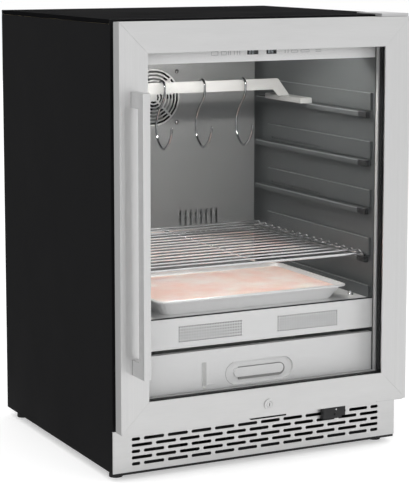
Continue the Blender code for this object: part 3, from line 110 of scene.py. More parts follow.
def add(tree, kind, links=(), **values):
    """A node of that kind. Links pairs each input with a value or with the socket that feeds it."""
    node = tree.nodes.new("ShaderNode" + kind)
    for name, value in values.items():
        setattr(node, name, value)
    for socket, source in links:
        if hasattr(source, "is_output"):
            tree.links.new(source, node.inputs[socket])
        else:
            node.inputs[socket].default_value = source
    return node


def calc(tree, operation, first, second):
    """One step of arithmetic on two numbers, as the socket that gives the answer."""
    return add(tree, "Math", [(0, first), (1, second)], operation=operation).outputs[0]


def remap(tree, value, low, high, to_low=0.0, to_high=1.0):
    """The value moved from one range to another, as the socket that gives the answer."""
    return add(tree, "MapRange", enumerate((value, low, high, to_low, to_high))).outputs[0]


def noise(tree, place, scale, detail):
    """Cloudy noise at that place, as the socket that gives it."""
    clouds = add(tree, "TexNoise", [("Vector", place), ("Scale", scale), ("Detail", detail)])
    return clouds.outputs["Fac"]


print("middle grey 128 is", round(chart(128)[0], 3), "in linear light")

# %% [markdown]
# ## The white room
#
# Catalogue pictures of kitchen machines are taken in a white room. Brushed steel is only as bright
# as what it mirrors, so the whole room has to be white, not just the wall behind. The world gives
# plain white to the camera, to gloss and to glass, and a little less to matt surfaces, which keeps
# soft shade inside the cabinet. Two soft lamps add shape. The front one isn't mirrored, because its
# bright patch would wash out the flat door as soon as someone looks at it from straight in front.

# %% Light the room
room = bpy.data.worlds.new("white_room")
room.use_nodes = True
bpy.context.scene.world = room
sky = room.node_tree
sky.nodes.clear()
seen = add(sky, "LightPath").outputs
glossy_too = calc(sky, "MAXIMUM", seen["Is Camera Ray"], seen["Is Glossy Ray"])
glass_too = calc(sky, "MAXIMUM", glossy_too, seen["Is Transmission Ray"])
ambient = add(sky, "Background", [("Color", (1, 1, 1, 1)), ("Strength", 0.95)])
white = add(sky, "Background", [("Color", (1, 1, 1, 1)), ("Strength", 1.0)])
choose = add(sky, "MixShader", [("Fac", glass_too), (1, ambient.outputs[0]), (2, white.outputs[0])])
add(sky, "OutputWorld", [("Surface", choose.outputs[0])])


def soft_lamp(name, place, aim, width, height, watts):
    """A large soft box lamp at a place, turned towards the point that it lights."""
    lamp_data = bpy.data.lights.new(name, "AREA")
    lamp_data.shape = "RECTANGLE"
    lamp_data.size, lamp_data.size_y = width, height
    lamp_data.energy = watts
    lamp = bpy.data.objects.new(name, lamp_data)
    lamp.location = place
    lamp.rotation_euler = (Vector(aim) - Vector(place)).to_track_quat("-Z", "Y").to_euler()
    bpy.context.scene.collection.objects.link(lamp)
    return lamp


soft_lamp("overhead_box", (0.2, -0.6, 3.2), (0, 0, 0.3), width=3.0, height=2.4, watts=10)
front_lamp = soft_lamp("front_box", (-1.4, -4.6, 1.6), (0, 0, 0.4), width=3.0, height=1.8, watts=76)
front_lamp.visible_glossy = False

# %% [markdown]
# ## Shared effects
#
# Several finishes use the same effect with other numbers. Brushing runs along every steel piece,
# paint and moulded plastic both have a fine skin, and dust settles on whatever faces up. Each of
# these is built once as a node group with named sockets, and a material then sets its own values.

# %% Start a shared effect
def start_effect(name, inputs, outputs):
    """An empty node group, with its named inputs and outputs, and the two nodes that hold them."""
    effect = bpy.data.node_groups.new(name, "ShaderNodeTree")
    for socket, kind, value in inputs:
        made = effect.interface.new_socket(name=socket, in_out="INPUT",
                                           socket_type="NodeSocket" + kind)
        made.default_value = value
    for socket, kind in outputs:
        effect.interface.new_socket(name=socket, in_out="OUTPUT", socket_type="NodeSocket" + kind)
    return effect, effect.nodes.new("NodeGroupInput"), effect.nodes.new("NodeGroupOutput")


def varied(tree, colour, amount, mask):
    """The colour made lighter and darker by that amount as the mask goes from 0 to 1."""
    low, high = calc(tree, "SUBTRACT", 1.0, amount), calc(tree, "ADD", 1.0, amount)
    scale = remap(tree, mask, 0.0, 1.0, low, high)
    return add(tree, "VectorMath", [(0, colour), ("Scale", scale)], operation="SCALE").outputs[0]


def vary_gloss(effect, given, result, mask):
    """Sets the effect's roughness: the plain one, and more of the change as the mask rises."""
    rougher = calc(effect, "MULTIPLY", mask, given.outputs["Roughness Change"])
    rough = calc(effect, "ADD", rougher, given.outputs["Plain Roughness"])
    effect.links.new(rough, result.inputs["Roughness"])


print("helpers for effects are ready")

# %% [markdown]
# ### Brushed grain
#
# Stainless steel for kitchens is ground with a belt, which leaves fine scratches in one direction
# and soft bands where the belt pressed harder. Scratches could be drawn as a picture, but a noise
# that is stretched along one axis gives the same and never repeats. The stretch is a vector: a low
# number on one axis draws the lines out along it.

# %% Build the brushed grain
grain, grain_in, grain_out = start_effect(
    "brushed_grain",
    [("Steel Colour", "Color", (0.6, 0.6, 0.6, 1)), ("Lines Per Metre", "Vector", (20, 2400, 2400)),
     ("Contrast", "Float", 0.06), ("Plain Roughness", "Float", 0.3),
     ("Roughness Change", "Float", 0.1)],
    [("Colour", "Color"), ("Roughness", "Float"), ("Scratches", "Float")],
)
place = add(grain, "TexCoord").outputs["Object"]
stretched = add(grain, "VectorMath", [(0, place), (1, grain_in.outputs["Lines Per Metre"])],
                operation="MULTIPLY")
lines = noise(grain, stretched.outputs[0], 1.0, detail=3.0)
broad = add(grain, "VectorMath", [(0, stretched.outputs[0]), (1, (0.25, 0.02, 0.02))],
            operation="MULTIPLY")
bands = noise(grain, broad.outputs[0], 1.0, detail=2.0)
both = add(grain, "Mix", [("Factor", 0.35), (2, lines), (3, bands)])
spread = remap(grain, both.outputs[0], 0.32, 0.68)
steel = varied(grain, grain_in.outputs["Steel Colour"], grain_in.outputs["Contrast"], spread)
grain.links.new(steel, grain_out.inputs["Colour"])
vary_gloss(grain, grain_in, grain_out, spread)
grain.links.new(spread, grain_out.inputs["Scratches"])
print("effect:", grain.name, "with", len(grain.nodes), "nodes")

# %% [markdown]
# ### The skin of paint and plastic
#
# Sprayed paint dries with a faint orange peel, and a plastic moulding keeps the fine spark texture
# of its tool. Both are small soft bumps and differ only in size. Real coats also vary a little in
# gloss where hands and cloths have been, so a second, much larger noise moves the roughness.

# %% Build the fine skin
skin, skin_in, skin_out = start_effect(
    "fine_skin",
    [("Coat Colour", "Color", (0.1, 0.1, 0.1, 1)), ("Bumps Per Metre", "Float", 700.0),
     ("Patches Per Metre", "Float", 9.0), ("Colour Change", "Float", 0.05),
     ("Plain Roughness", "Float", 0.4), ("Roughness Change", "Float", 0.1)],
    [("Colour", "Color"), ("Roughness", "Float"), ("Bumps", "Float")],
)
place = add(skin, "TexCoord").outputs["Object"]
bumps = noise(skin, place, skin_in.outputs["Bumps Per Metre"], detail=2.0)
patches = noise(skin, place, skin_in.outputs["Patches Per Metre"], detail=4.0)
spread = remap(skin, patches, 0.3, 0.7)
coat = varied(skin, skin_in.outputs["Coat Colour"], skin_in.outputs["Colour Change"], spread)
skin.links.new(coat, skin_out.inputs["Colour"])
vary_gloss(skin, skin_in, skin_out, spread)
skin.links.new(bumps, skin_out.inputs["Bumps"])
print("effect:", skin.name, "with", len(skin.nodes), "nodes")

# %% [markdown]
# ### Settled dust
#
# In a kitchen a thin film of dust and flour lies on whatever faces up and in the corners of the
# machine bay. The way that a face points is known to every material, so the mask is the upward
# part of the normal times a patchy noise. Materials mix a little pale grey in by it.

# %% Build the settled dust
dust, dust_in, dust_out = start_effect(
    "settled_dust",
    [("Clean Colour", "Color", (0.1, 0.1, 0.1, 1)), ("Amount", "Float", 0.1),
     ("Patches Per Metre", "Float", 30.0)],
    [("Colour", "Color")],
)
upward = add(dust, "SeparateXYZ", [(0, add(dust, "NewGeometry").outputs["Normal"])])
lying = remap(dust, upward.outputs["Z"], 0.2, 1.0)
place = add(dust, "TexCoord").outputs["Object"]
motes = noise(dust, place, dust_in.outputs["Patches Per Metre"], detail=8.0)
clumped = remap(dust, motes, 0.4, 0.75, to_low=0.2)
film = calc(dust, "MULTIPLY", lying, clumped)
film = calc(dust, "MULTIPLY", film, dust_in.outputs["Amount"])
dusted = add(dust, "Mix", [("Factor", film), (6, dust_in.outputs["Clean Colour"]),
                           (7, chart(150, 148, 144))], data_type="RGBA")
dust.links.new(dusted.outputs[2], dust_out.inputs["Colour"])
print("effect:", dust.name, "with", len(dust.nodes), "nodes")

# %% [markdown]
# ## Finishes
#
# Each finish starts from the Principled shader. Whatever is the same all over the surface, such as
# the metal or the strength of the gloss, is set on the shader itself, and only what changes from
# place to place comes from an effect. Two makers cover nearly everything here: brushed metal, and
# a coat with a fine skin. The few special ones, such as glass and salt, begin with the same start.

# %% Make the two kinds of finish
def start_finish(name, **settings):
    """A material with a Principled shader, whose plain sockets take these values."""
    finish = bpy.data.materials.new(name)
    finish.use_nodes = True
    shader = finish.node_tree.nodes["Principled BSDF"]
    for socket, value in settings.items():
        shader.inputs[socket.replace("_", " ")].default_value = value
    return finish, finish.node_tree, shader


def use_effect(tree, effect, **values):
    """One of the shared effects, placed in a material with its own values."""
    node = add(tree, "Group", node_tree=effect)
    for socket, value in values.items():
        node.inputs[socket.replace("_", " ")].default_value = value
    return node


def feed(tree, shader, colour_from, gloss_from):
    """Lets two effects set the colour and the roughness of the shader."""
    tree.links.new(colour_from.outputs["Colour"], shader.inputs["Base Color"])
    tree.links.new(gloss_from.outputs["Roughness"], shader.inputs["Roughness"])


def raise_bumps(tree, shader, height, depth):
    """Feeds a height through a Bump node. The depth is in metres."""
    bump = add(tree, "Bump", [("Height", height), ("Distance", depth), ("Strength", 1.0)])
    tree.links.new(bump.outputs["Normal"], shader.inputs["Normal"])


def brushed(name, colour, lines, contrast=0.05, roughness=0.3, change=0.08, scratch=0.000004,
            metal=1.0):
    """Metal with its grain along the axis whose line count is low. Dull sheet has less metal."""
    finish, tree, shader = start_finish(name, Metallic=metal)
    marks = use_effect(tree, grain, Steel_Colour=colour, Lines_Per_Metre=lines, Contrast=contrast,
                       Plain_Roughness=roughness, Roughness_Change=change)
    feed(tree, shader, marks, marks)
    raise_bumps(tree, shader, marks.outputs["Scratches"], scratch)
    return finish


def coated(name, colour, bumps=700.0, depth=0.00001, roughness=0.4, change=0.1, uneven=0.05,
           dusty=0.0, **settings):
    """Paint, enamel, rubber or moulded plastic, with dust where it faces up."""
    finish, tree, shader = start_finish(name, **settings)
    coat = use_effect(tree, skin, Coat_Colour=colour, Bumps_Per_Metre=bumps, Colour_Change=uneven,
                      Plain_Roughness=roughness, Roughness_Change=change)
    film = use_effect(tree, dust, Amount=dusty)
    tree.links.new(coat.outputs["Colour"], film.inputs["Clean Colour"])
    feed(tree, shader, film, coat)
    raise_bumps(tree, shader, coat.outputs["Bumps"], depth)
    return finish


print("makers of finishes:", brushed.__name__, coated.__name__)

# %% [markdown]
# ### Steel
#
# The grain of the real door runs along each of its four members and meets at the mitres, so there
# are two door finishes that differ only in direction. The fascia and the drawer are a paler satin
# sheet with the grain across, and the control panel is the same sheet made paler still, as painted
# light against the shade of the door's top rail. Inside, the walls are a darker, duller sheet.

# %% Mix the steels
ACROSS, UPRIGHT, DEEP = (26, 2600, 2600), (2600, 2600, 26), (2600, 26, 2600)
FINS, WIRE = (900, 40, 40), (400, 400, 400)
door_steel_upright = brushed("door_steel_upright", chart(206), UPRIGHT)
door_steel_across = brushed("door_steel_across", chart(206), ACROSS)
fascia_steel = brushed("fascia_steel", chart(226), ACROSS, contrast=0.02, roughness=0.36,
                       scratch=0.0000006, metal=0.25)
tray_steel = brushed("tray_steel", chart(238), DEEP, metal=0.35)
bar_steel = brushed("bar_steel", chart(180, 180, 179), ACROSS, contrast=0.04, roughness=0.34,
                    metal=0.3)
wall_steel = brushed("wall_steel", chart(99, 102, 103), DEEP, contrast=0.03, roughness=0.38,
                     scratch=0.000001, metal=0.6)
back_steel = brushed("back_steel", chart(140, 141, 142), ACROSS, contrast=0.06, roughness=0.42,
                     metal=0.6)
zinc_plate = brushed("zinc_plate", chart(196, 196, 197), ACROSS, contrast=0.1, roughness=0.4)
bright_wire = brushed("bright_wire", chart(232, 232, 233), WIRE, roughness=0.16)
grille_steel = brushed("grille_steel", chart(196, 197, 197), ACROSS, contrast=0.04, roughness=0.4,
                       metal=0.6)
# Painted highlight: a sheet paler than the walls for the thin lips on the upper edges of rails and
# ledges.
lip_highlight_steel = brushed("lip_highlight_steel", chart(158, 160, 161), DEEP, contrast=0.04, roughness=0.36,
                    metal=0.6)
# Painted reflection: the hooks' steel is the shelf's wire made darker, as if it mirrored the dark
# case.
hook_steel_darkened = brushed("hook_steel_darkened", chart(186, 187, 189), WIRE, roughness=0.12)
# Painted light: the control panel is the fascia's sheet made paler, to make up for the shade of the
# door's top rail.
panel_steel_brightened = brushed("panel_steel_brightened", chart(231), ACROSS, contrast=0.02, roughness=0.36,
                      scratch=0.0000006, metal=0.25)
fin_aluminium = brushed("fin_aluminium", chart(196, 198, 200), FINS, contrast=0.16, roughness=0.42)
fin_enamel = brushed("fin_enamel", chart(34, 34, 35), FINS, contrast=0.3, roughness=0.5, metal=0.1)
print("steels:", sum(1 for item in bpy.data.materials if "steel" in item.name))

# %% [markdown]
# ### Paint, plastic and rubber
#
# The case is dark because its paint gives back very little light, even at a flat angle, so its
# gloss is set low. The mouldings differ in how fine their skin is: the lamp cover is smooth, the
# gasket is soft and dull, and the feet carry the coarse texture of hard plastic.

# %% Mix the coats
case_paint = coated("case_paint", chart(23, 23, 24), bumps=520, depth=0.000012, roughness=0.42,
                    uneven=0.08, Specular_IOR_Level=0.015)
# Painted shade: the top panel wears the sides' paint made darker, with almost no gloss, so it reads
# darker.
top_paint_shaded = coated("top_paint_shaded", chart(17, 17, 18), bumps=520, depth=0.000012, roughness=0.5,
                   uneven=0.05, Specular_IOR_Level=0.0005)
bay_paint = coated("bay_paint", chart(30, 30, 32), roughness=0.5, dusty=0.25,
                   Specular_IOR_Level=0.3)
rear_paint = coated("rear_paint", chart(48, 48, 50), bumps=520, depth=0.000012, roughness=0.46,
                    uneven=0.06, Specular_IOR_Level=0.3)
black_plastic = coated("black_plastic", chart(14, 14, 15), bumps=2600, depth=0.00002, roughness=0.5,
                       dusty=0.01, Specular_IOR_Level=0.15)
sensor_plastic = coated("sensor_plastic", chart(46, 46, 47), bumps=2600, depth=0.00002,
                        roughness=0.5, Specular_IOR_Level=0.2)
fan_black = coated("fan_black", chart(8, 8, 9), bumps=2600, roughness=0.6, Specular_IOR_Level=0.05)
# Mid grey for the painted shade round the drawer's grip.
pull_shade_grey = coated("pull_shade_grey", chart(132, 132, 131), bumps=2200, roughness=0.5)
# Grey for the painted shade on the drawer's raised bead.
bead_shade_grey = coated("bead_shade_grey", chart(190, 190, 189), bumps=2200, roughness=0.5)
# Near black for the sheet of painted shade behind the vent holes.
black_shade_sheet = coated("black_shade_sheet", chart(4), bumps=3000, depth=0.0001, roughness=0.9,
                    Specular_IOR_Level=0.0)
gasket_rubber = coated("gasket_rubber", chart(30, 30, 31), bumps=1800, roughness=0.62,
                       dusty=0.05, Specular_IOR_Level=0.3)
foot_rubber = coated("foot_rubber", chart(22, 22, 23), bumps=1500, depth=0.00003, roughness=0.7,
                     dusty=0.1)
grey_plastic = coated("grey_plastic", chart(168), bumps=2200, roughness=0.42)
white_plastic = coated("white_plastic", chart(226, 226, 222), bumps=2200)
pump_enamel = coated("pump_enamel", chart(20, 20, 21), bumps=380, depth=0.00005, roughness=0.3,
                     dusty=0.2)
print("coats:", [item.name for item in bpy.data.materials][-8:])

# %% [markdown]
# ### Glass
#
# The pane could bend light like real glass, but then the lamps would have to find their way through
# it and the inside would turn noisy and dark. A thin pane hardly shifts what is behind it, so here
# it is a surface that is mostly not there: a low alpha lets light and sight pass, and what is left
# carries the gloss and the faint grey of the low emission coating.

# %% Mix the glass
def pane(name, colour, alpha, roughness):
    """A clear pane: the alpha is how much of the light the glass itself takes part in."""
    finish, tree, shader = start_finish(name, Metallic=0.0, Transmission_Weight=0.0, IOR=1.52)
    haze = use_effect(tree, skin, Coat_Colour=colour, Bumps_Per_Metre=14.0, Patches_Per_Metre=5.0,
                      Colour_Change=0.1, Plain_Roughness=roughness, Roughness_Change=0.03)
    feed(tree, shader, haze, haze)
    shader.inputs["Alpha"].default_value = alpha
    return finish


front_glass = pane("front_glass", chart(90, 94, 94), alpha=0.02, roughness=0.03)
inner_glass = pane("inner_glass", chart(90, 94, 94), alpha=0.02, roughness=0.03)
print("panes:", front_glass.name, inner_glass.name)

# %% [markdown]
# ### Salt, foam and the green board
#
# Pressed salt is a crust of grains, some clear and some pink. Cells from a Voronoi texture make the
# grains, and a wide noise moves the pink about in clouds as in real blocks. The foam behind the
# walls is full of small pores, and the circuit board is a green lacquer over copper tracks.

# %% Mix the salt
grains_per_metre, grain_depth = 420.0, 0.0006
salt_crust, salt_tree, salt_shader = start_finish("salt_crust", Roughness=0.62,
                                                  Subsurface_Weight=0.08)
salt_place = add(salt_tree, "TexCoord").outputs["Object"]
clouds = noise(salt_tree, salt_place, 15.0, detail=5.0)
tint = add(salt_tree, "ValToRGB", [("Fac", clouds)])
tint.color_ramp.elements[0].position, tint.color_ramp.elements[0].color = 0.36, chart(252, 214, 202)
tint.color_ramp.elements[1].position, tint.color_ramp.elements[1].color = 0.64, chart(254, 240, 233)
grains = add(salt_tree, "TexVoronoi", [("Vector", salt_place), ("Scale", grains_per_metre)])
grain_tint = varied(salt_tree, tint.outputs["Color"], 0.05, grains.outputs["Distance"])
salt_tree.links.new(grain_tint, salt_shader.inputs["Base Color"])
raise_bumps(salt_tree, salt_shader, grains.outputs["Distance"], grain_depth)
print("salt grains are about", round(1000 / grains_per_metre, 1), "mm")

# %% Mix the foam, the board and the lamp
foam = coated("foam", chart(222, 206, 160), bumps=420, depth=0.0006, roughness=0.8, uneven=0.12)
board_lacquer = coated("board_lacquer", chart(24, 84, 50), bumps=300, depth=0.00005, roughness=0.3,
                       uneven=0.3)
lamp_cover = coated("lamp_cover", chart(240, 240, 238), roughness=0.35,
                    Emission_Color=(1.0, 0.98, 0.94, 1.0), Emission_Strength=85.0)
print("special finishes:", foam.name, board_lacquer.name, lamp_cover.name)

# %% [markdown]
# ## Dressing the solids
#
# A CAD solid keeps its place and its shape, and only the material in its slot changes. The list
# names each finish and the solids that wear it, and the last line shows any solid that the list
# has forgotten.

# %% Give each solid its finish
dressed_in = {
    door_steel_upright: "door_stile_left door_stile_right door_handle",
    door_steel_across: "door_rail_bottom door_rail_top kick_plate lock_barrel lock_plug",
    fascia_steel: "vent_fascia drawer_front",
    panel_steel_brightened: "control_panel",
    tray_steel: "salt_tray",
    bar_steel: "hanger_bar",
    wall_steel: "liner_wall_left liner_wall_right liner_ceiling liner_floor",
    back_steel: "duct_cover liner_back",
    grille_steel: "fan_grille",
    zinc_plate: "top_hinge_bracket bottom_hinge_bracket evaporation_tray",
    bright_wire: "wire_shelf",
    hook_steel_darkened: "meat_hook_1 meat_hook_2 meat_hook_3",
    fin_aluminium: "evaporator_coil",
    fin_enamel: "condenser_coil",
    case_paint: "side_panel_left side_panel_right front_frame",
    rear_paint: "rear_panel",
    top_paint_shaded: "top_panel",
    bay_paint: "base_pan compressor_cover",
    sensor_plastic: "door_sensor",
    fan_black: "fan_housing fan_impeller",
    black_plastic: "lock_cover condenser_fan_housing "
                   "condenser_fan_impeller mains_inlet glass_spacer",
    gasket_rubber: "door_gasket",
    foot_rubber: "foot_front_left foot_front_right foot_rear_left foot_rear_right",
    grey_plastic: "door_core",
    white_plastic: "drawer_bin",
    pump_enamel: "compressor",
    front_glass: "glass_outer",
    inner_glass: "glass_inner",
    salt_crust: "salt_bed",
    foam: "insulation_foam",
    board_lacquer: "control_board",
    lamp_cover: "interior_light",
}
dressed = set()
for finish, names in dressed_in.items():
    for name in names.split():
        for material_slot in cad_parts[name].material_slots:
            material_slot.material = finish
        dressed.add(name)
print("dressed:", len(dressed), "left over:", sorted(set(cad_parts) - dressed))

# %% [markdown]
# ## The floor
#
# The cabinet stands on a pale floor that runs into the white behind it. A single wide sheet is
# enough, because only the soft shadow along the base tells the eye that it is there. It glows a
# little where it is looked at, and much less where the steel mirrors it.

# %% Lay the floor
def stage_sheet(name, corners, faces, finish):
    """A sheet that belongs to the studio and not to the cabinet."""
    mesh = bpy.data.meshes.new(name)
    mesh.from_pydata(corners, [], faces)
    mesh.materials.append(finish)
    sheet = bpy.data.objects.new(name, mesh)
    bpy.context.scene.collection.objects.link(sheet)
    sheet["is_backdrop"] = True
    return sheet


reach, seen_glow, mirrored_glow = 9, 0.4, 0.06
floor_paint, floor_tree, floor_shader = start_finish(
    "floor_paint", Base_Color=chart(235), Roughness=0.9, Specular_IOR_Level=0.0,
    Emission_Color=(1, 1, 1, 1))
looked_at = add(floor_tree, "LightPath").outputs
through = calc(floor_tree, "MAXIMUM", looked_at["Is Camera Ray"], looked_at["Is Transmission Ray"])
seen_lift = calc(floor_tree, "MULTIPLY", through, seen_glow)
mirrored_lift = calc(floor_tree, "MULTIPLY", looked_at["Is Glossy Ray"], mirrored_glow)
lift = calc(floor_tree, "ADD", seen_lift, mirrored_lift)
floor_tree.links.new(lift, floor_shader.inputs["Emission Strength"])
floor_corners = [(-reach, -reach, 0), (reach, -reach, 0), (reach, reach, 0), (-reach, reach, 0)]
studio_floor = stage_sheet("studio_floor", floor_corners, [(0, 1, 2, 3)], floor_paint)
print("floor, m:", [round(value, 1) for value in studio_floor.dimensions])

# %% [markdown]
# ## A grey card for the left side
#
# The sides of a steel door turn paper white if the whole room is white, and the edges are lost. A
# photographer lays a wide grey card on the floor behind that side and bends its far end upwards,
# out of the picture. What faces that way mirrors the card, so the side of the door turns a calm
# mid grey.

# %% Lay the grey card
near_x, far_x, near_y, far_y, card_low, card_top = -0.36, -3.2, -0.2, 3.2, 0.002, 2.6
card_corners = [(near_x, near_y, card_low), (far_x, near_y, card_low), (far_x, far_y, card_low),
                (near_x, far_y, card_low), (far_x, far_y, card_top), (near_x, far_y, card_top)]
card_paper = start_finish("card_paper", Base_Color=chart(0), Roughness=1.0, Specular_IOR_Level=0.0,
                          Emission_Color=chart(180), Emission_Strength=1.0)[0]
grey_card = stage_sheet("grey_card", card_corners, [(0, 3, 2, 1), (3, 5, 4, 2)], card_paper)
grey_card.visible_camera = grey_card.visible_diffuse = grey_card.visible_shadow = False
print("grey card, m:", [round(value, 1) for value in grey_card.dimensions])

# %% [markdown]
# ## Building small pieces
#
# The small pieces are made in mesh code. Round ones, such as screws and pegs, are turned: a short
# outline of radius and height is spun round an axis, as on a lathe. Flat ones, such as the marks on
# the panel, are cut: an outline in the plane of the front is given a thickness. Long ones, such as
# rubber strips, are drawn: one section runs from their left end to their right.

# %% Make the lathe, the cutter and the drawing bench
def set_in_place(name, mesh, finish, body="cabinet", slot="stainless"):
    """Puts a mesh in the scene with its finish, riding on its body."""
    piece = bpy.data.objects.new(name, mesh)
    bpy.context.scene.collection.objects.link(piece)
    piece.data.materials.append(finish)
    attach(piece, body)
    return piece


def join_rings(shape, rings, steps):
    """Lays smooth faces from each ring to the next. A ring of one point closes an end."""
    for lower, upper in zip(rings, rings[1:]):
        for step in range(steps):
            after = (step + 1) % steps
            corners = [lower[step % len(lower)], lower[after % len(lower)],
                       upper[after % len(upper)], upper[step % len(upper)]]
            shape.faces.new(list(dict.fromkeys(corners))).smooth = True


def turned(outline, steps=24):
    """Spins (radius, height) points round the Z axis into a shape. Radius 0 closes an end."""
    shape = bmesh.new()
    turns = [2 * math.pi * step / steps for step in range(steps)]
    rings = []
    for radius, height in outline:
        if radius == 0:
            rings.append([shape.verts.new((0, 0, height))])
        else:
            rings.append([shape.verts.new((radius * math.cos(t), radius * math.sin(t), height))
                          for t in turns])
    join_rings(shape, rings, steps)
    return shape


def fit_round(name, shape, spots, finish, facing=(0, -1, 0), **where):
    """Sets a turned shape on each spot, with its Z axis turned to face that way, as one piece."""
    turn = Vector((0, 0, 1)).rotation_difference(Vector(facing)).to_matrix().to_4x4()
    single = bpy.data.meshes.new(name + "_single")
    shape.to_mesh(single)
    shape.free()
    whole = bmesh.new()
    for spot in spots:
        before = len(whole.verts)
        whole.from_mesh(single)
        whole.verts.ensure_lookup_table()
        bmesh.ops.transform(whole, matrix=Matrix.Translation(spot) @ turn,
                            verts=whole.verts[before:])
    mesh = bpy.data.meshes.new(name)
    whole.to_mesh(mesh)
    whole.free()
    bpy.data.meshes.remove(single)
    set_in_place(name, mesh, finish, **where)


def walled(shape, near, far):
    """Closes two equal outlines into a solid, with a wall of faces between them."""
    shape.faces.new(near)
    shape.faces.new(list(reversed(far)))
    for index in range(len(near)):
        after = (index + 1) % len(near)
        shape.faces.new((near[after], near[index], far[index], far[after]))


def ready(shape, name):
    """The shape as a mesh whose faces all point outwards."""
    bmesh.ops.recalc_face_normals(shape, faces=shape.faces)
    mesh = bpy.data.meshes.new(name)
    shape.to_mesh(mesh)
    shape.free()
    return mesh


def fit_flat(name, outlines, front, depth, finish, **where):
    """Cuts flat shapes from outlines of (x, z), their fronts at that y, and sets them in place."""
    shape = bmesh.new()
    for outline in outlines:
        walled(shape, [shape.verts.new((x, front, z)) for x, z in outline],
               [shape.verts.new((x, front + depth, z)) for x, z in outline])
    set_in_place(name, ready(shape, name), finish, **where)


def fit_strip(name, profile, left, right, finish, **where):
    """Draws a strip of one section of (y, z) points along X, and sets it in place."""
    shape = bmesh.new()
    walled(shape, [shape.verts.new((left, y, z)) for y, z in profile],
           [shape.verts.new((right, y, z)) for y, z in profile])
    set_in_place(name, ready(shape, name), finish, **where)


def bar_outline(x0, x1, z0, z1):
    """A straight bar as an outline."""
    return [(x0, z0), (x1, z0), (x1, z1), (x0, z1)]


print("lathe, cutter and drawing bench are ready")

# %% [markdown]
# ## The perforated vent
#
# Air leaves the fascia below the tray through two fields of punched holes, twenty five across and
# six high. Dark dots on the steel would look flat from the side, so the front of the fascia gets a
# thin skin with real holes: each hole is an eight sided ring set in its own square of sheet, and
# the squares share their edges. A near black sheet behind the skin is painted shade: it darkens
# the holes where the steel of the fascia would otherwise show through.

# %% Punch the vent
hole_pitch, hole_radius, skin_depth = 0.00525, 0.00165, 0.0003
hole_columns, hole_rows, hole_bottom = 25, 6, 0.244
# The two shares after the centres place the sheet of painted shade inside the skin's depth.
field_centres, shade_sheet_in, shade_sheet_thick = (-0.0997, 0.1046), 0.7, 0.2  # felt: shares of the skin's depth
fascia_low, fascia_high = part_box("vent_fascia")
skin_front = fascia_low.y - skin_depth


def punched_field(shape, centre_x):
    """Adds one field of holes and returns the left and right edge of its sheet."""
    corner_ring = [(1, 0), (1, 1), (0, 1), (-1, 1), (-1, 0), (-1, -1), (0, -1), (1, -1)]
    turns = [math.pi / 4 * step for step in range(8)]
    left = centre_x - hole_columns * hole_pitch / 2
    bottom = hole_bottom - hole_pitch / 2
    for column in range(hole_columns):
        for row in range(hole_rows):
            x = left + (column + 0.5) * hole_pitch
            z = bottom + (row + 0.5) * hole_pitch
            rim = [shape.verts.new((x + hole_radius * math.cos(t), skin_front,
                                    z + hole_radius * math.sin(t))) for t in turns]
            deep = [shape.verts.new((vert.co.x, skin_front + skin_depth, vert.co.z))
                    for vert in rim]
            edge = [shape.verts.new((x + a * hole_pitch / 2, skin_front, z + b * hole_pitch / 2))
                    for a, b in corner_ring]
            for step in range(8):
                after = (step + 1) % 8
                shape.faces.new((edge[step], edge[after], rim[after], rim[step]))
                shape.faces.new((rim[step], rim[after], deep[after], deep[step]))
    return left, left + hole_columns * hole_pitch


vent = bmesh.new()
fields = [punched_field(vent, centre) for centre in field_centres]
field_low = hole_bottom - hole_pitch / 2
field_high = field_low + hole_rows * hole_pitch
plain = [(fascia_low.x, fascia_high.x, fascia_low.z, field_low),
         (fascia_low.x, fascia_high.x, field_high, fascia_high.z),
         (fascia_low.x, fields[0][0], field_low, field_high),
         (fields[0][1], fields[1][0], field_low, field_high),
         (fields[1][1], fascia_high.x, field_low, field_high)]
for edges in plain:
    vent.faces.new([vent.verts.new((x, skin_front, z)) for x, z in bar_outline(*edges)])
bmesh.ops.remove_doubles(vent, verts=vent.verts, dist=0.00001)
set_in_place("vent_skin", ready(vent, "vent_skin"), fascia_steel)
# Painted shade: a near black sheet behind the holes makes them read dark.
shade_sheet = [bar_outline(a, b, field_low, field_high) for a, b in fields]
fit_flat("vent_shade_sheet", shade_sheet, skin_front + skin_depth * shade_sheet_in, skin_depth * shade_sheet_thick, black_shade_sheet,
         slot="black_rubber")
print("holes punched:", 2 * hole_columns * hole_rows, "each", round(2000 * hole_radius, 1), "mm")

# %% [markdown]
# ## Displays and touch marks
#
# Two small windows in the panel show the temperature and the humidity, with faint touch marks on
# either side. A text object would need a typeface, but a display like this has seven bars for each
# digit, so the digits are cut from bars. Each digit lists which of its seven bars are lit.

# %% Cut the digits
panel_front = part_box("control_panel")[0].y
display_ink = coated("display_ink", chart(20, 21, 22), roughness=0.2, bumps=900, depth=0.0)
digit_light = coated("digit_light", chart(150, 156, 160), Emission_Color=chart(225, 235, 240),
                     Emission_Strength=0.12)
mark_ink = coated("mark_ink", chart(176, 177, 178), bumps=900, depth=0.0)
BARS = {"0": "abcdef", "2": "abged", "5": "afgcd", "8": "abcdefg"}


def digit_bars(digit, left, low, width, height, thick):
    """The lit bars of one digit."""
    right, high, middle = left + width, low + height, low + height / 2
    bars = {"a": bar_outline(left, right, high - thick, high),
            "b": bar_outline(right - thick, right, middle, high),
            "c": bar_outline(right - thick, right, low, middle),
            "d": bar_outline(left, right, low, low + thick),
            "e": bar_outline(left, left + thick, low, middle),
            "f": bar_outline(left, left + thick, middle, high),
            "g": bar_outline(left, right, middle - thick / 2, middle + thick / 2)}
    return [bars[letter] for letter in BARS[digit]]


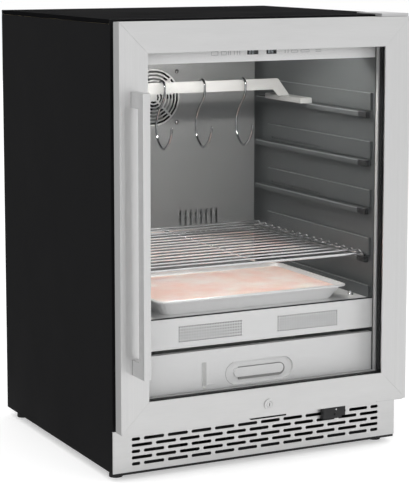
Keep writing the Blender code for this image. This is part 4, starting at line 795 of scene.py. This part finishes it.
windows = {"display_temperature": (-0.0255, -0.0025, "20"),
           "display_humidity": (0.0141, 0.0350, "85")}
window_low, window_high, window_thick, ink_thick = 0.7588, 0.7672, 0.0003, 0.0001
digit_front, digit_margin, digit_pitch = panel_front - 0.0004, 0.0035, 0.0062
digit_low, digit_width, digit_height, digit_line = 0.7602, 0.0042, 0.0058, 0.0009
for name, (left, right, digits) in windows.items():
    fit_flat(name, [bar_outline(left, right, window_low, window_high)], panel_front - window_thick,
             window_thick, display_ink, slot="black_plastic")
    lit = [bar for place, digit in enumerate(digits)
           for bar in digit_bars(digit, left + digit_margin + place * digit_pitch, digit_low,
                                 digit_width, digit_height, digit_line)]
    fit_flat(name + "_digits", lit, digit_front, ink_thick, digit_light, slot="white_plastic")
print("displays:", list(windows))

# %% Print the touch marks
def hollow_box(x0, x1, z0, z1, line):
    """Four bars round an empty middle."""
    return [bar_outline(x0, x1, z0, z0 + line), bar_outline(x0, x1, z1 - line, z1),
            bar_outline(x0, x0 + line, z0 + line, z1 - line),
            bar_outline(x1 - line, x1, z0 + line, z1 - line)]


box_line, tick_width, dash_height, marks = 0.0009, 0.0014, 0.0012, []
for left, right in ((-0.0985, -0.0845), (-0.0785, -0.0675)):
    marks += hollow_box(left, right, 0.7590, 0.7660, box_line)
marks += [bar_outline(x, x + tick_width, 0.7590, 0.7660)
          for x in (-0.0645, -0.0605, -0.0525, -0.0465, -0.0415)]
marks += [bar_outline(x, x + tick_width, 0.7595, 0.7655) for x in (0.0525, 0.0585)]
for left, right in ((0.0660, 0.0800), (0.0860, 0.1040)):
    marks += hollow_box(left, right, 0.7600, 0.7650, box_line)
marks += [bar_outline(0.1170, 0.1290, z, z + dash_height) for z in (0.7602, 0.7636)]
fit_flat("touch_marks", marks, panel_front - ink_thick, ink_thick, mark_ink, slot="black_plastic")
print("touch marks:", len(marks), "bars")

# %% [markdown]
# ## Screws and pegs
#
# Four domed screws hold the fan behind its grille. They are turned on the lathe helper. A dark ring
# round each head is painted shadow, and a dark cross laid on each head is painted shade for its
# recess. Two bright pegs stand on the step beside the tray and keep it centred.

# %% Turn the screws and the pegs
cover_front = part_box("duct_cover")[0].y
grille_low, grille_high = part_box("fan_grille")
fan_x, fan_z = (grille_low.x + grille_high.x) / 2, (grille_low.z + grille_high.z) / 2
screw_reach = 0.0525
spots = [Vector((fan_x + a * screw_reach, cover_front, fan_z + b * screw_reach))
         for a in (-1, 1) for b in (-1, 1)]
dome = turned([(0, 0.0022), (0.0012, 0.0021), (0.0024, 0.0015), (0.0032, 0.0004), (0.0032, 0.0)])
fit_round("grille_screws", dome, spots, bright_wire, slot="bright_wire")
# Painted shadow: a dark ring round each screw head.
shadow_ring = turned([(0.0032, 0.0002), (0.0045, 0.0002), (0.0045, 0.0)])
fit_round("grille_shadow_rings", shadow_ring, spots, gasket_rubber, slot="black_rubber")
# Painted shade: a dark cross on each head stands for its recess.
cross_shades = [bar_outline(spot.x - a, spot.x + a, spot.z - b, spot.z + b)
           for spot in spots for a, b in ((0.0014, 0.0003), (0.0003, 0.0014))]
fit_flat("screw_cross_shades", cross_shades, cover_front - 0.0024, 0.0004, gasket_rubber, slot="black_rubber")
step_top = fascia_high.z
peg = turned([(0, 0.009), (0.002, 0.0086), (0.0036, 0.0074), (0.0042, 0.006), (0.0042, 0.0035),
              (0.0054, 0.003), (0.0058, 0.0)])
pegs = [Vector((side * 0.2285, fascia_low.y + 0.049, step_top)) for side in (-1, 1)]
fit_round("step_pegs", peg, pegs, bright_wire, facing=(0, 0, 1), slot="bright_wire")
print("screws:", len(spots), "pegs:", len(pegs))

# %% [markdown]
# ## Mitres and handle pads
#
# The four members of the door are cut at an angle, welded and ground, so only a hair line is left
# at each corner. A thin bead fills each joint a little below the surface. The two posts of the
# handle stand on thin dark pads that keep them off the steel.

# %% Fill the mitres and pad the handle
door_low, door_high = Vector((-0.2975, -0.26, 0.096)), Vector((0.2975, -0.26, 0.8235))
member_width, bead_half, bead_gap = 0.0545, 0.0001, 0.0008
start, end = bead_gap, member_width - bead_gap
beads = []
for side, corner_x in ((1, door_low.x), (-1, door_high.x)):
    for up, corner_z in ((1, door_low.z), (-1, door_high.z)):
        beads.append([(corner_x + side * start, corner_z + up * (start - bead_half)),
                      (corner_x + side * end, corner_z + up * (end - bead_half)),
                      (corner_x + side * end, corner_z + up * (end + bead_half)),
                      (corner_x + side * start, corner_z + up * (start + bead_half))])
fit_flat("mitre_beads", beads, door_low.y + 0.0001, 0.0009, door_steel_across, body="door")
handle_low, handle_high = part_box("door_handle")
pad_inset, pad_height = 0.0004, 0.028
pads = [bar_outline(handle_low.x + pad_inset, handle_high.x - pad_inset,
                    low + pad_inset, low + pad_height - pad_inset)
        for low in (handle_low.z, handle_high.z - pad_height)]
fit_flat("handle_pads", pads, handle_high.y, door_low.y - handle_high.y, black_plastic, body="door",
         slot="black_plastic")
print("beads:", len(beads), "pads:", len(pads), "thick, mm:",
      round(1000 * (door_low.y - handle_high.y), 2))

# %% [markdown]
# ## Strips, caps and small fastenings
#
# A dark rubber bead along the edge of the step stops the tray from sliding forward and also stands
# for the shadow line under the tray, as painted shade. A dark rubber skirt under the kick plate
# keeps dust out of the machine bay and also stands for the shadow line under the plate, as painted
# shade.
# Each ledge in the walls ends in a dark rubber cap, painted shade for the shaded hollow end of the
# bent sheet. All are drawn from a section with its corners taken off, because rubber parts never
# have sharp edges. The rails and ledges are bent sheet, and each gets a thin lip, paler than the
# wall, along its upper edge: a painted highlight where the edge catches the light. A small screw
# holds the sensor.

# %% Lay the rubber bead and the skirt
bead_front, bead_back = fascia_low.y + 0.0008, fascia_low.y + 0.0048
bead_top, taken_off = step_top + 0.0022, 0.0008
# Painted shade: the dark bead also stands for the shadow line under the tray.
shadow_bead_section = [(bead_front, step_top), (bead_front, bead_top - taken_off),
                (bead_front + taken_off, bead_top), (bead_back - taken_off, bead_top),
                (bead_back, bead_top - taken_off), (bead_back, step_top)]
fit_strip("tray_shadow_bead", shadow_bead_section, fascia_low.x + 0.001, fascia_high.x - 0.001, gasket_rubber,
          slot="black_rubber")
plate_low, plate_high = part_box("kick_plate")
# Painted shade: the dark skirt also stands for the shadow line under the kick plate.
skirt_front, skirt_low, skirt_tip, tucked_in = plate_low.y + 0.0013, 0.0112, 0.0104, 0.008
shadow_skirt_section = [(skirt_front, plate_low.z + tucked_in), (skirt_front, plate_low.z),
                 (skirt_front + 0.0002, skirt_low), (skirt_front + 0.0008, skirt_tip),
                 (skirt_front + 0.0016, skirt_low),
                 (skirt_front + 0.0020, plate_low.z + tucked_in)]
fit_strip("kick_shadow_skirt", shadow_skirt_section, plate_low.x + 0.001, plate_high.x - 0.001, gasket_rubber,
          slot="black_rubber")
print("bead and skirt, mm wide:", round(1000 * (fascia_high.x - fascia_low.x)),
      round(1000 * (plate_high.x - plate_low.x)))

# %% Cap the ledges
top_ledge, top_plate, level_pitch = 0.6432, 0.6788, 0.0922
ledge_tops = [top_ledge - level * level_pitch for level in range(4)]
ledge_height, cap_front, cap_length, chamfer = 0.0102, -0.2085, 0.0265, 0.0015
ledge_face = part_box("liner_wall_right")[0].x
# Painted shade: dark caps on the open ends of the ledges, where the hollow under the bent sheet is
# in shade.
shade_caps = []
for top in ledge_tops:
    inner, outer = ledge_face - 0.0002, ledge_face + 0.0094
    low, high = top - ledge_height - 0.0012, top - 0.0003
    for side in (-1, 1):
        shade_caps.append([(side * inner, high), (side * inner, low + chamfer),
                     (side * (inner + chamfer), low), (side * outer, low), (side * outer, high)])
fit_flat("ledge_shade_caps", shade_caps, cap_front, cap_length, gasket_rubber, slot="black_rubber")
print("ledge caps:", len(shade_caps), "at heights, mm:", [round(1000 * top) for top in ledge_tops])

# %% Fasten the sensor and edge the rails
sensor_low, sensor_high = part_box("door_sensor")
pin = turned([(0, 0.0006), (0.0009, 0.0005), (0.0015, 0.0)])
sensor_spot = Vector(((sensor_low.x + sensor_high.x) / 2 + 0.0042, sensor_low.y,
                      sensor_high.z - 0.0068))
fit_round("sensor_screw", pin, [sensor_spot], bright_wire, slot="bright_wire")


def lip(side, near, far, low, near_top, far_top):
    """The section of a lip between two places across, near and far, each with its own top."""
    return [(side * near, low), (side * near, near_top), (side * far, far_top), (side * far, low)]


plate_face, plate_front, plate_length, ledge_length = ledge_face + 0.009, -0.2099, 0.3968, 0.405
plate_tops = [top_plate - level * level_pitch for level in range(5)]
# Painted highlight: a thin lip, paler than the wall, along the upper edge of each rail and ledge.
rail_highlight_lips = [lip(side, plate_face - 0.0003, plate_face + 0.0002, top - 0.0009, top - 0.0002,
                  top + 0.0002) for top in plate_tops for side in (-1, 1)]
ledge_highlight_lips = [lip(side, ledge_face - 0.00015, ledge_face + 0.0003, top - 0.0024, top - 0.0006,
                   top - 0.0002) for top in ledge_tops for side in (-1, 1)]
fit_flat("rail_highlight_lips", rail_highlight_lips, plate_front, plate_length, lip_highlight_steel, slot="grey_liner")
fit_flat("ledge_highlight_lips", ledge_highlight_lips, cap_front + cap_length, ledge_length, lip_highlight_steel,
         slot="grey_liner")
print("edges:", len(rail_highlight_lips), "on the rails,", len(ledge_highlight_lips), "on the ledges")

# %% [markdown]
# ## The drawer's grip
#
# The grip of the drawer is a pressed hollow with a raised bar in it. A grey band round the bar,
# thin above it and thick below it, is painted shade for the bar's edge and the shaded space where
# fingers reach in, and a thin grey arc along the hollow's left end is painted shade as well. Each
# is an outline that goes out along the bar and comes back outside it. A grey strip of painted shade
# lies on the bead to the left of the grip, with a short rib and a stud.

# %% Fit the painted shade round the grip
drawer_front_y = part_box("drawer_front")[0].y
face_y = drawer_front_y + 0.0018
grip_x, grip_z, bar_radius, rim_radius, rim_line = 0.0025, 0.17308, 0.00883, 0.02163, 0.0007
bar_end_x, rim_mid_x = grip_x + 0.052 - bar_radius, grip_x - 0.0715 + rim_radius
shade_collar_left, shade_collar_top, shade_collar_low, shade_collar_edge = -0.040, 0.0009, 0.0048, 0.0001
shade_collar_in, shade_collar_depth, rim_out, rim_depth, arc_steps, half = 0.0026, 0.0034, 0.0001, 0.0006, 16, 8


def on_arc(middle_x, radius, t):
    """A point on a circle whose middle is on the grip's long axis."""
    return middle_x + radius * math.cos(t), grip_z + radius * math.sin(t)


arc = [math.pi / 2 - math.pi * step / arc_steps for step in range(arc_steps + 1)]
# Painted shade: the band widens from thin over the bar to thick under it.
wider = [bar_radius + shade_collar_top + (shade_collar_low - shade_collar_top) * step / arc_steps
         for step in range(arc_steps + 1)]
outside = [on_arc(bar_end_x, radius, t) for radius, t in zip(wider, arc)]
inside = [on_arc(bar_end_x, bar_radius - shade_collar_edge, t) for t in reversed(arc)]
shade_collar_pieces = [[(shade_collar_left, grip_z + bar_radius + shade_collar_top), *outside[:half + 1],
                  *inside[half:], (shade_collar_left, grip_z + bar_radius - shade_collar_edge)],
                 [(shade_collar_left, grip_z - bar_radius), *inside[:half + 1], *outside[half:],
                  (shade_collar_left, grip_z - bar_radius - shade_collar_low)]]
fit_flat("pull_shade_collar", shade_collar_pieces, face_y + shade_collar_in, shade_collar_depth, pull_shade_grey,
         slot="black_plastic")
# Painted shade: a thin grey arc along the hollow's left end.
rim_turns = [math.radians(105 + 150 * step / 20) for step in range(21)]
rim = [on_arc(rim_mid_x, rim_radius, t) for t in rim_turns]
rim += [on_arc(rim_mid_x, rim_radius - rim_line, t) for t in reversed(rim_turns)]
fit_flat("pull_shade_rim", [rim], face_y - rim_out, rim_depth, pull_shade_grey, slot="black_plastic")

# %% Fit the shade strip, the rib and the stud beside the grip
# Painted shade: a grey strip, darker than the sheet, over the raised bead of the drawer front.
bead_shade_strip = [(-0.1168, 0.1572), (-0.1088, 0.1572), (-0.1088, 0.1998), (-0.1096, 0.2006),
              (-0.1160, 0.2006), (-0.1168, 0.1998)]
fit_flat("drawer_bead_shade_strip", [bead_shade_strip], drawer_front_y - 0.0001, 0.0003, bead_shade_grey,
         slot="white_plastic")
rib = [(face_y, 0.1568), (face_y - 0.0007, 0.1574), (face_y - 0.0007, 0.1586), (face_y, 0.1592)]
fit_strip("drawer_rib", rib, -0.1082, -0.0928, fascia_steel)
stud = turned([(0, 0.0016), (0.0012, 0.0014), (0.0022, 0.0008), (0.0026, 0.0)])
stud_spot = Vector((-0.1129, face_y, 0.1528))
fit_round("drawer_stud", stud, [stud_spot], white_plastic, slot="white_plastic")
print("collar outline points:", len(shade_collar_pieces[0]) + len(shade_collar_pieces[1]))

# %% [markdown]
# ## Smooth hooks
#
# The hooks in the solid model are wires with few sides, enough for the physics. Seen close, a bent
# wire has to be round, so each is bent again along the same line with many more steps. The line is
# a circular loop over the bar and a sweeping tail, joined by a curve that goes through its points.

# %% Bend the hooks
def sweep_through(points, steps):
    """More points on a smooth curve through all the given ones."""
    line = [points[0], *points, points[-1]]
    result = []
    for a, b, c, d in zip(line, line[1:], line[2:], line[3:]):
        for step in range(steps):
            t = step / steps
            result.append(tuple(q + t / 2 * (r - p) + t * t * (p - 2.5 * q + 2 * r - w / 2)
                                + t ** 3 * (1.5 * (q - r) + (w - p) / 2)
                                for p, q, r, w in zip(a, b, c, d)))
    return result + [points[-1]]


wire_radius, wire_sides, loop_radius, balance = 0.0023, 12, 0.0134, 0.01242
loop_turns = [math.radians(-35 + 210 * step / 8) for step in range(9)]
loop_line = [(0.0005 + loop_radius * math.cos(t), loop_radius * math.sin(t) - 0.0103)
             for t in loop_turns]
tail_line = [(-0.0090, -0.0305), (0.0126, -0.0553), (0.0249, -0.0794), (0.0234, -0.1057),
             (0.0126, -0.1211), (-0.0075, -0.1305), (-0.0303, -0.1167), (-0.0409, -0.0994),
             (-0.0444, -0.0877)]
turn = Matrix.Rotation(balance, 2)
mid_line = [turn @ Vector(point) for point in sweep_through(loop_line + tail_line, 6)]
bar_top_y, bar_top_z = 0.085, 0.6885


def round_wire(x):
    """A round wire in the plane X = x along the hook's line, with domed ends."""
    shape = bmesh.new()
    rings, last = [], len(mid_line) - 1
    stations = [(0, -0.95, 0.3), (0, -0.6, 0.8), *((index, 0, 1) for index in range(last + 1)),
                (last, 0.6, 0.8), (last, 0.95, 0.3)]
    for index, beyond, share in stations:
        ahead = (mid_line[min(index + 1, last)] - mid_line[max(index - 1, 0)]).normalized()
        middle = mid_line[index] + ahead * beyond * wire_radius
        beside = Vector((-ahead.y, ahead.x))
        ring = []
        for step in range(wire_sides):
            t = 2 * math.pi * step / wire_sides
            spot = middle + beside * (wire_radius * share * math.cos(t))
            ring.append(shape.verts.new((x + wire_radius * share * math.sin(t), bar_top_y + spot.x,
                                         bar_top_z + spot.y)))
        rings.append(ring)
    join_rings(shape, rings, wire_sides)
    shape.faces.new(rings[0])
    shape.faces.new(list(reversed(rings[-1])))
    return ready(shape, "hook_wire")


for number, x in enumerate((-0.0512, 0.0361, 0.1272), 1):
    bent = set_in_place(f"bent_hook_{number}", round_wire(x), hook_steel_darkened, body=f"hook_{number}",
                        slot="bright_wire")
    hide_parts(f"meat_hook_{number}")
wire_length = sum((b - a).length for a, b in zip(mid_line, mid_line[1:]))
print("hook wire, mm long:", round(1000 * wire_length))

# %% Measure the size again
pass_low, pass_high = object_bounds()
changes = [abs(a - b) for a, b in zip([*cad_low, *cad_high], [*pass_low, *pass_high])]
print("largest change, mm:", round(1000 * max(changes), 3))
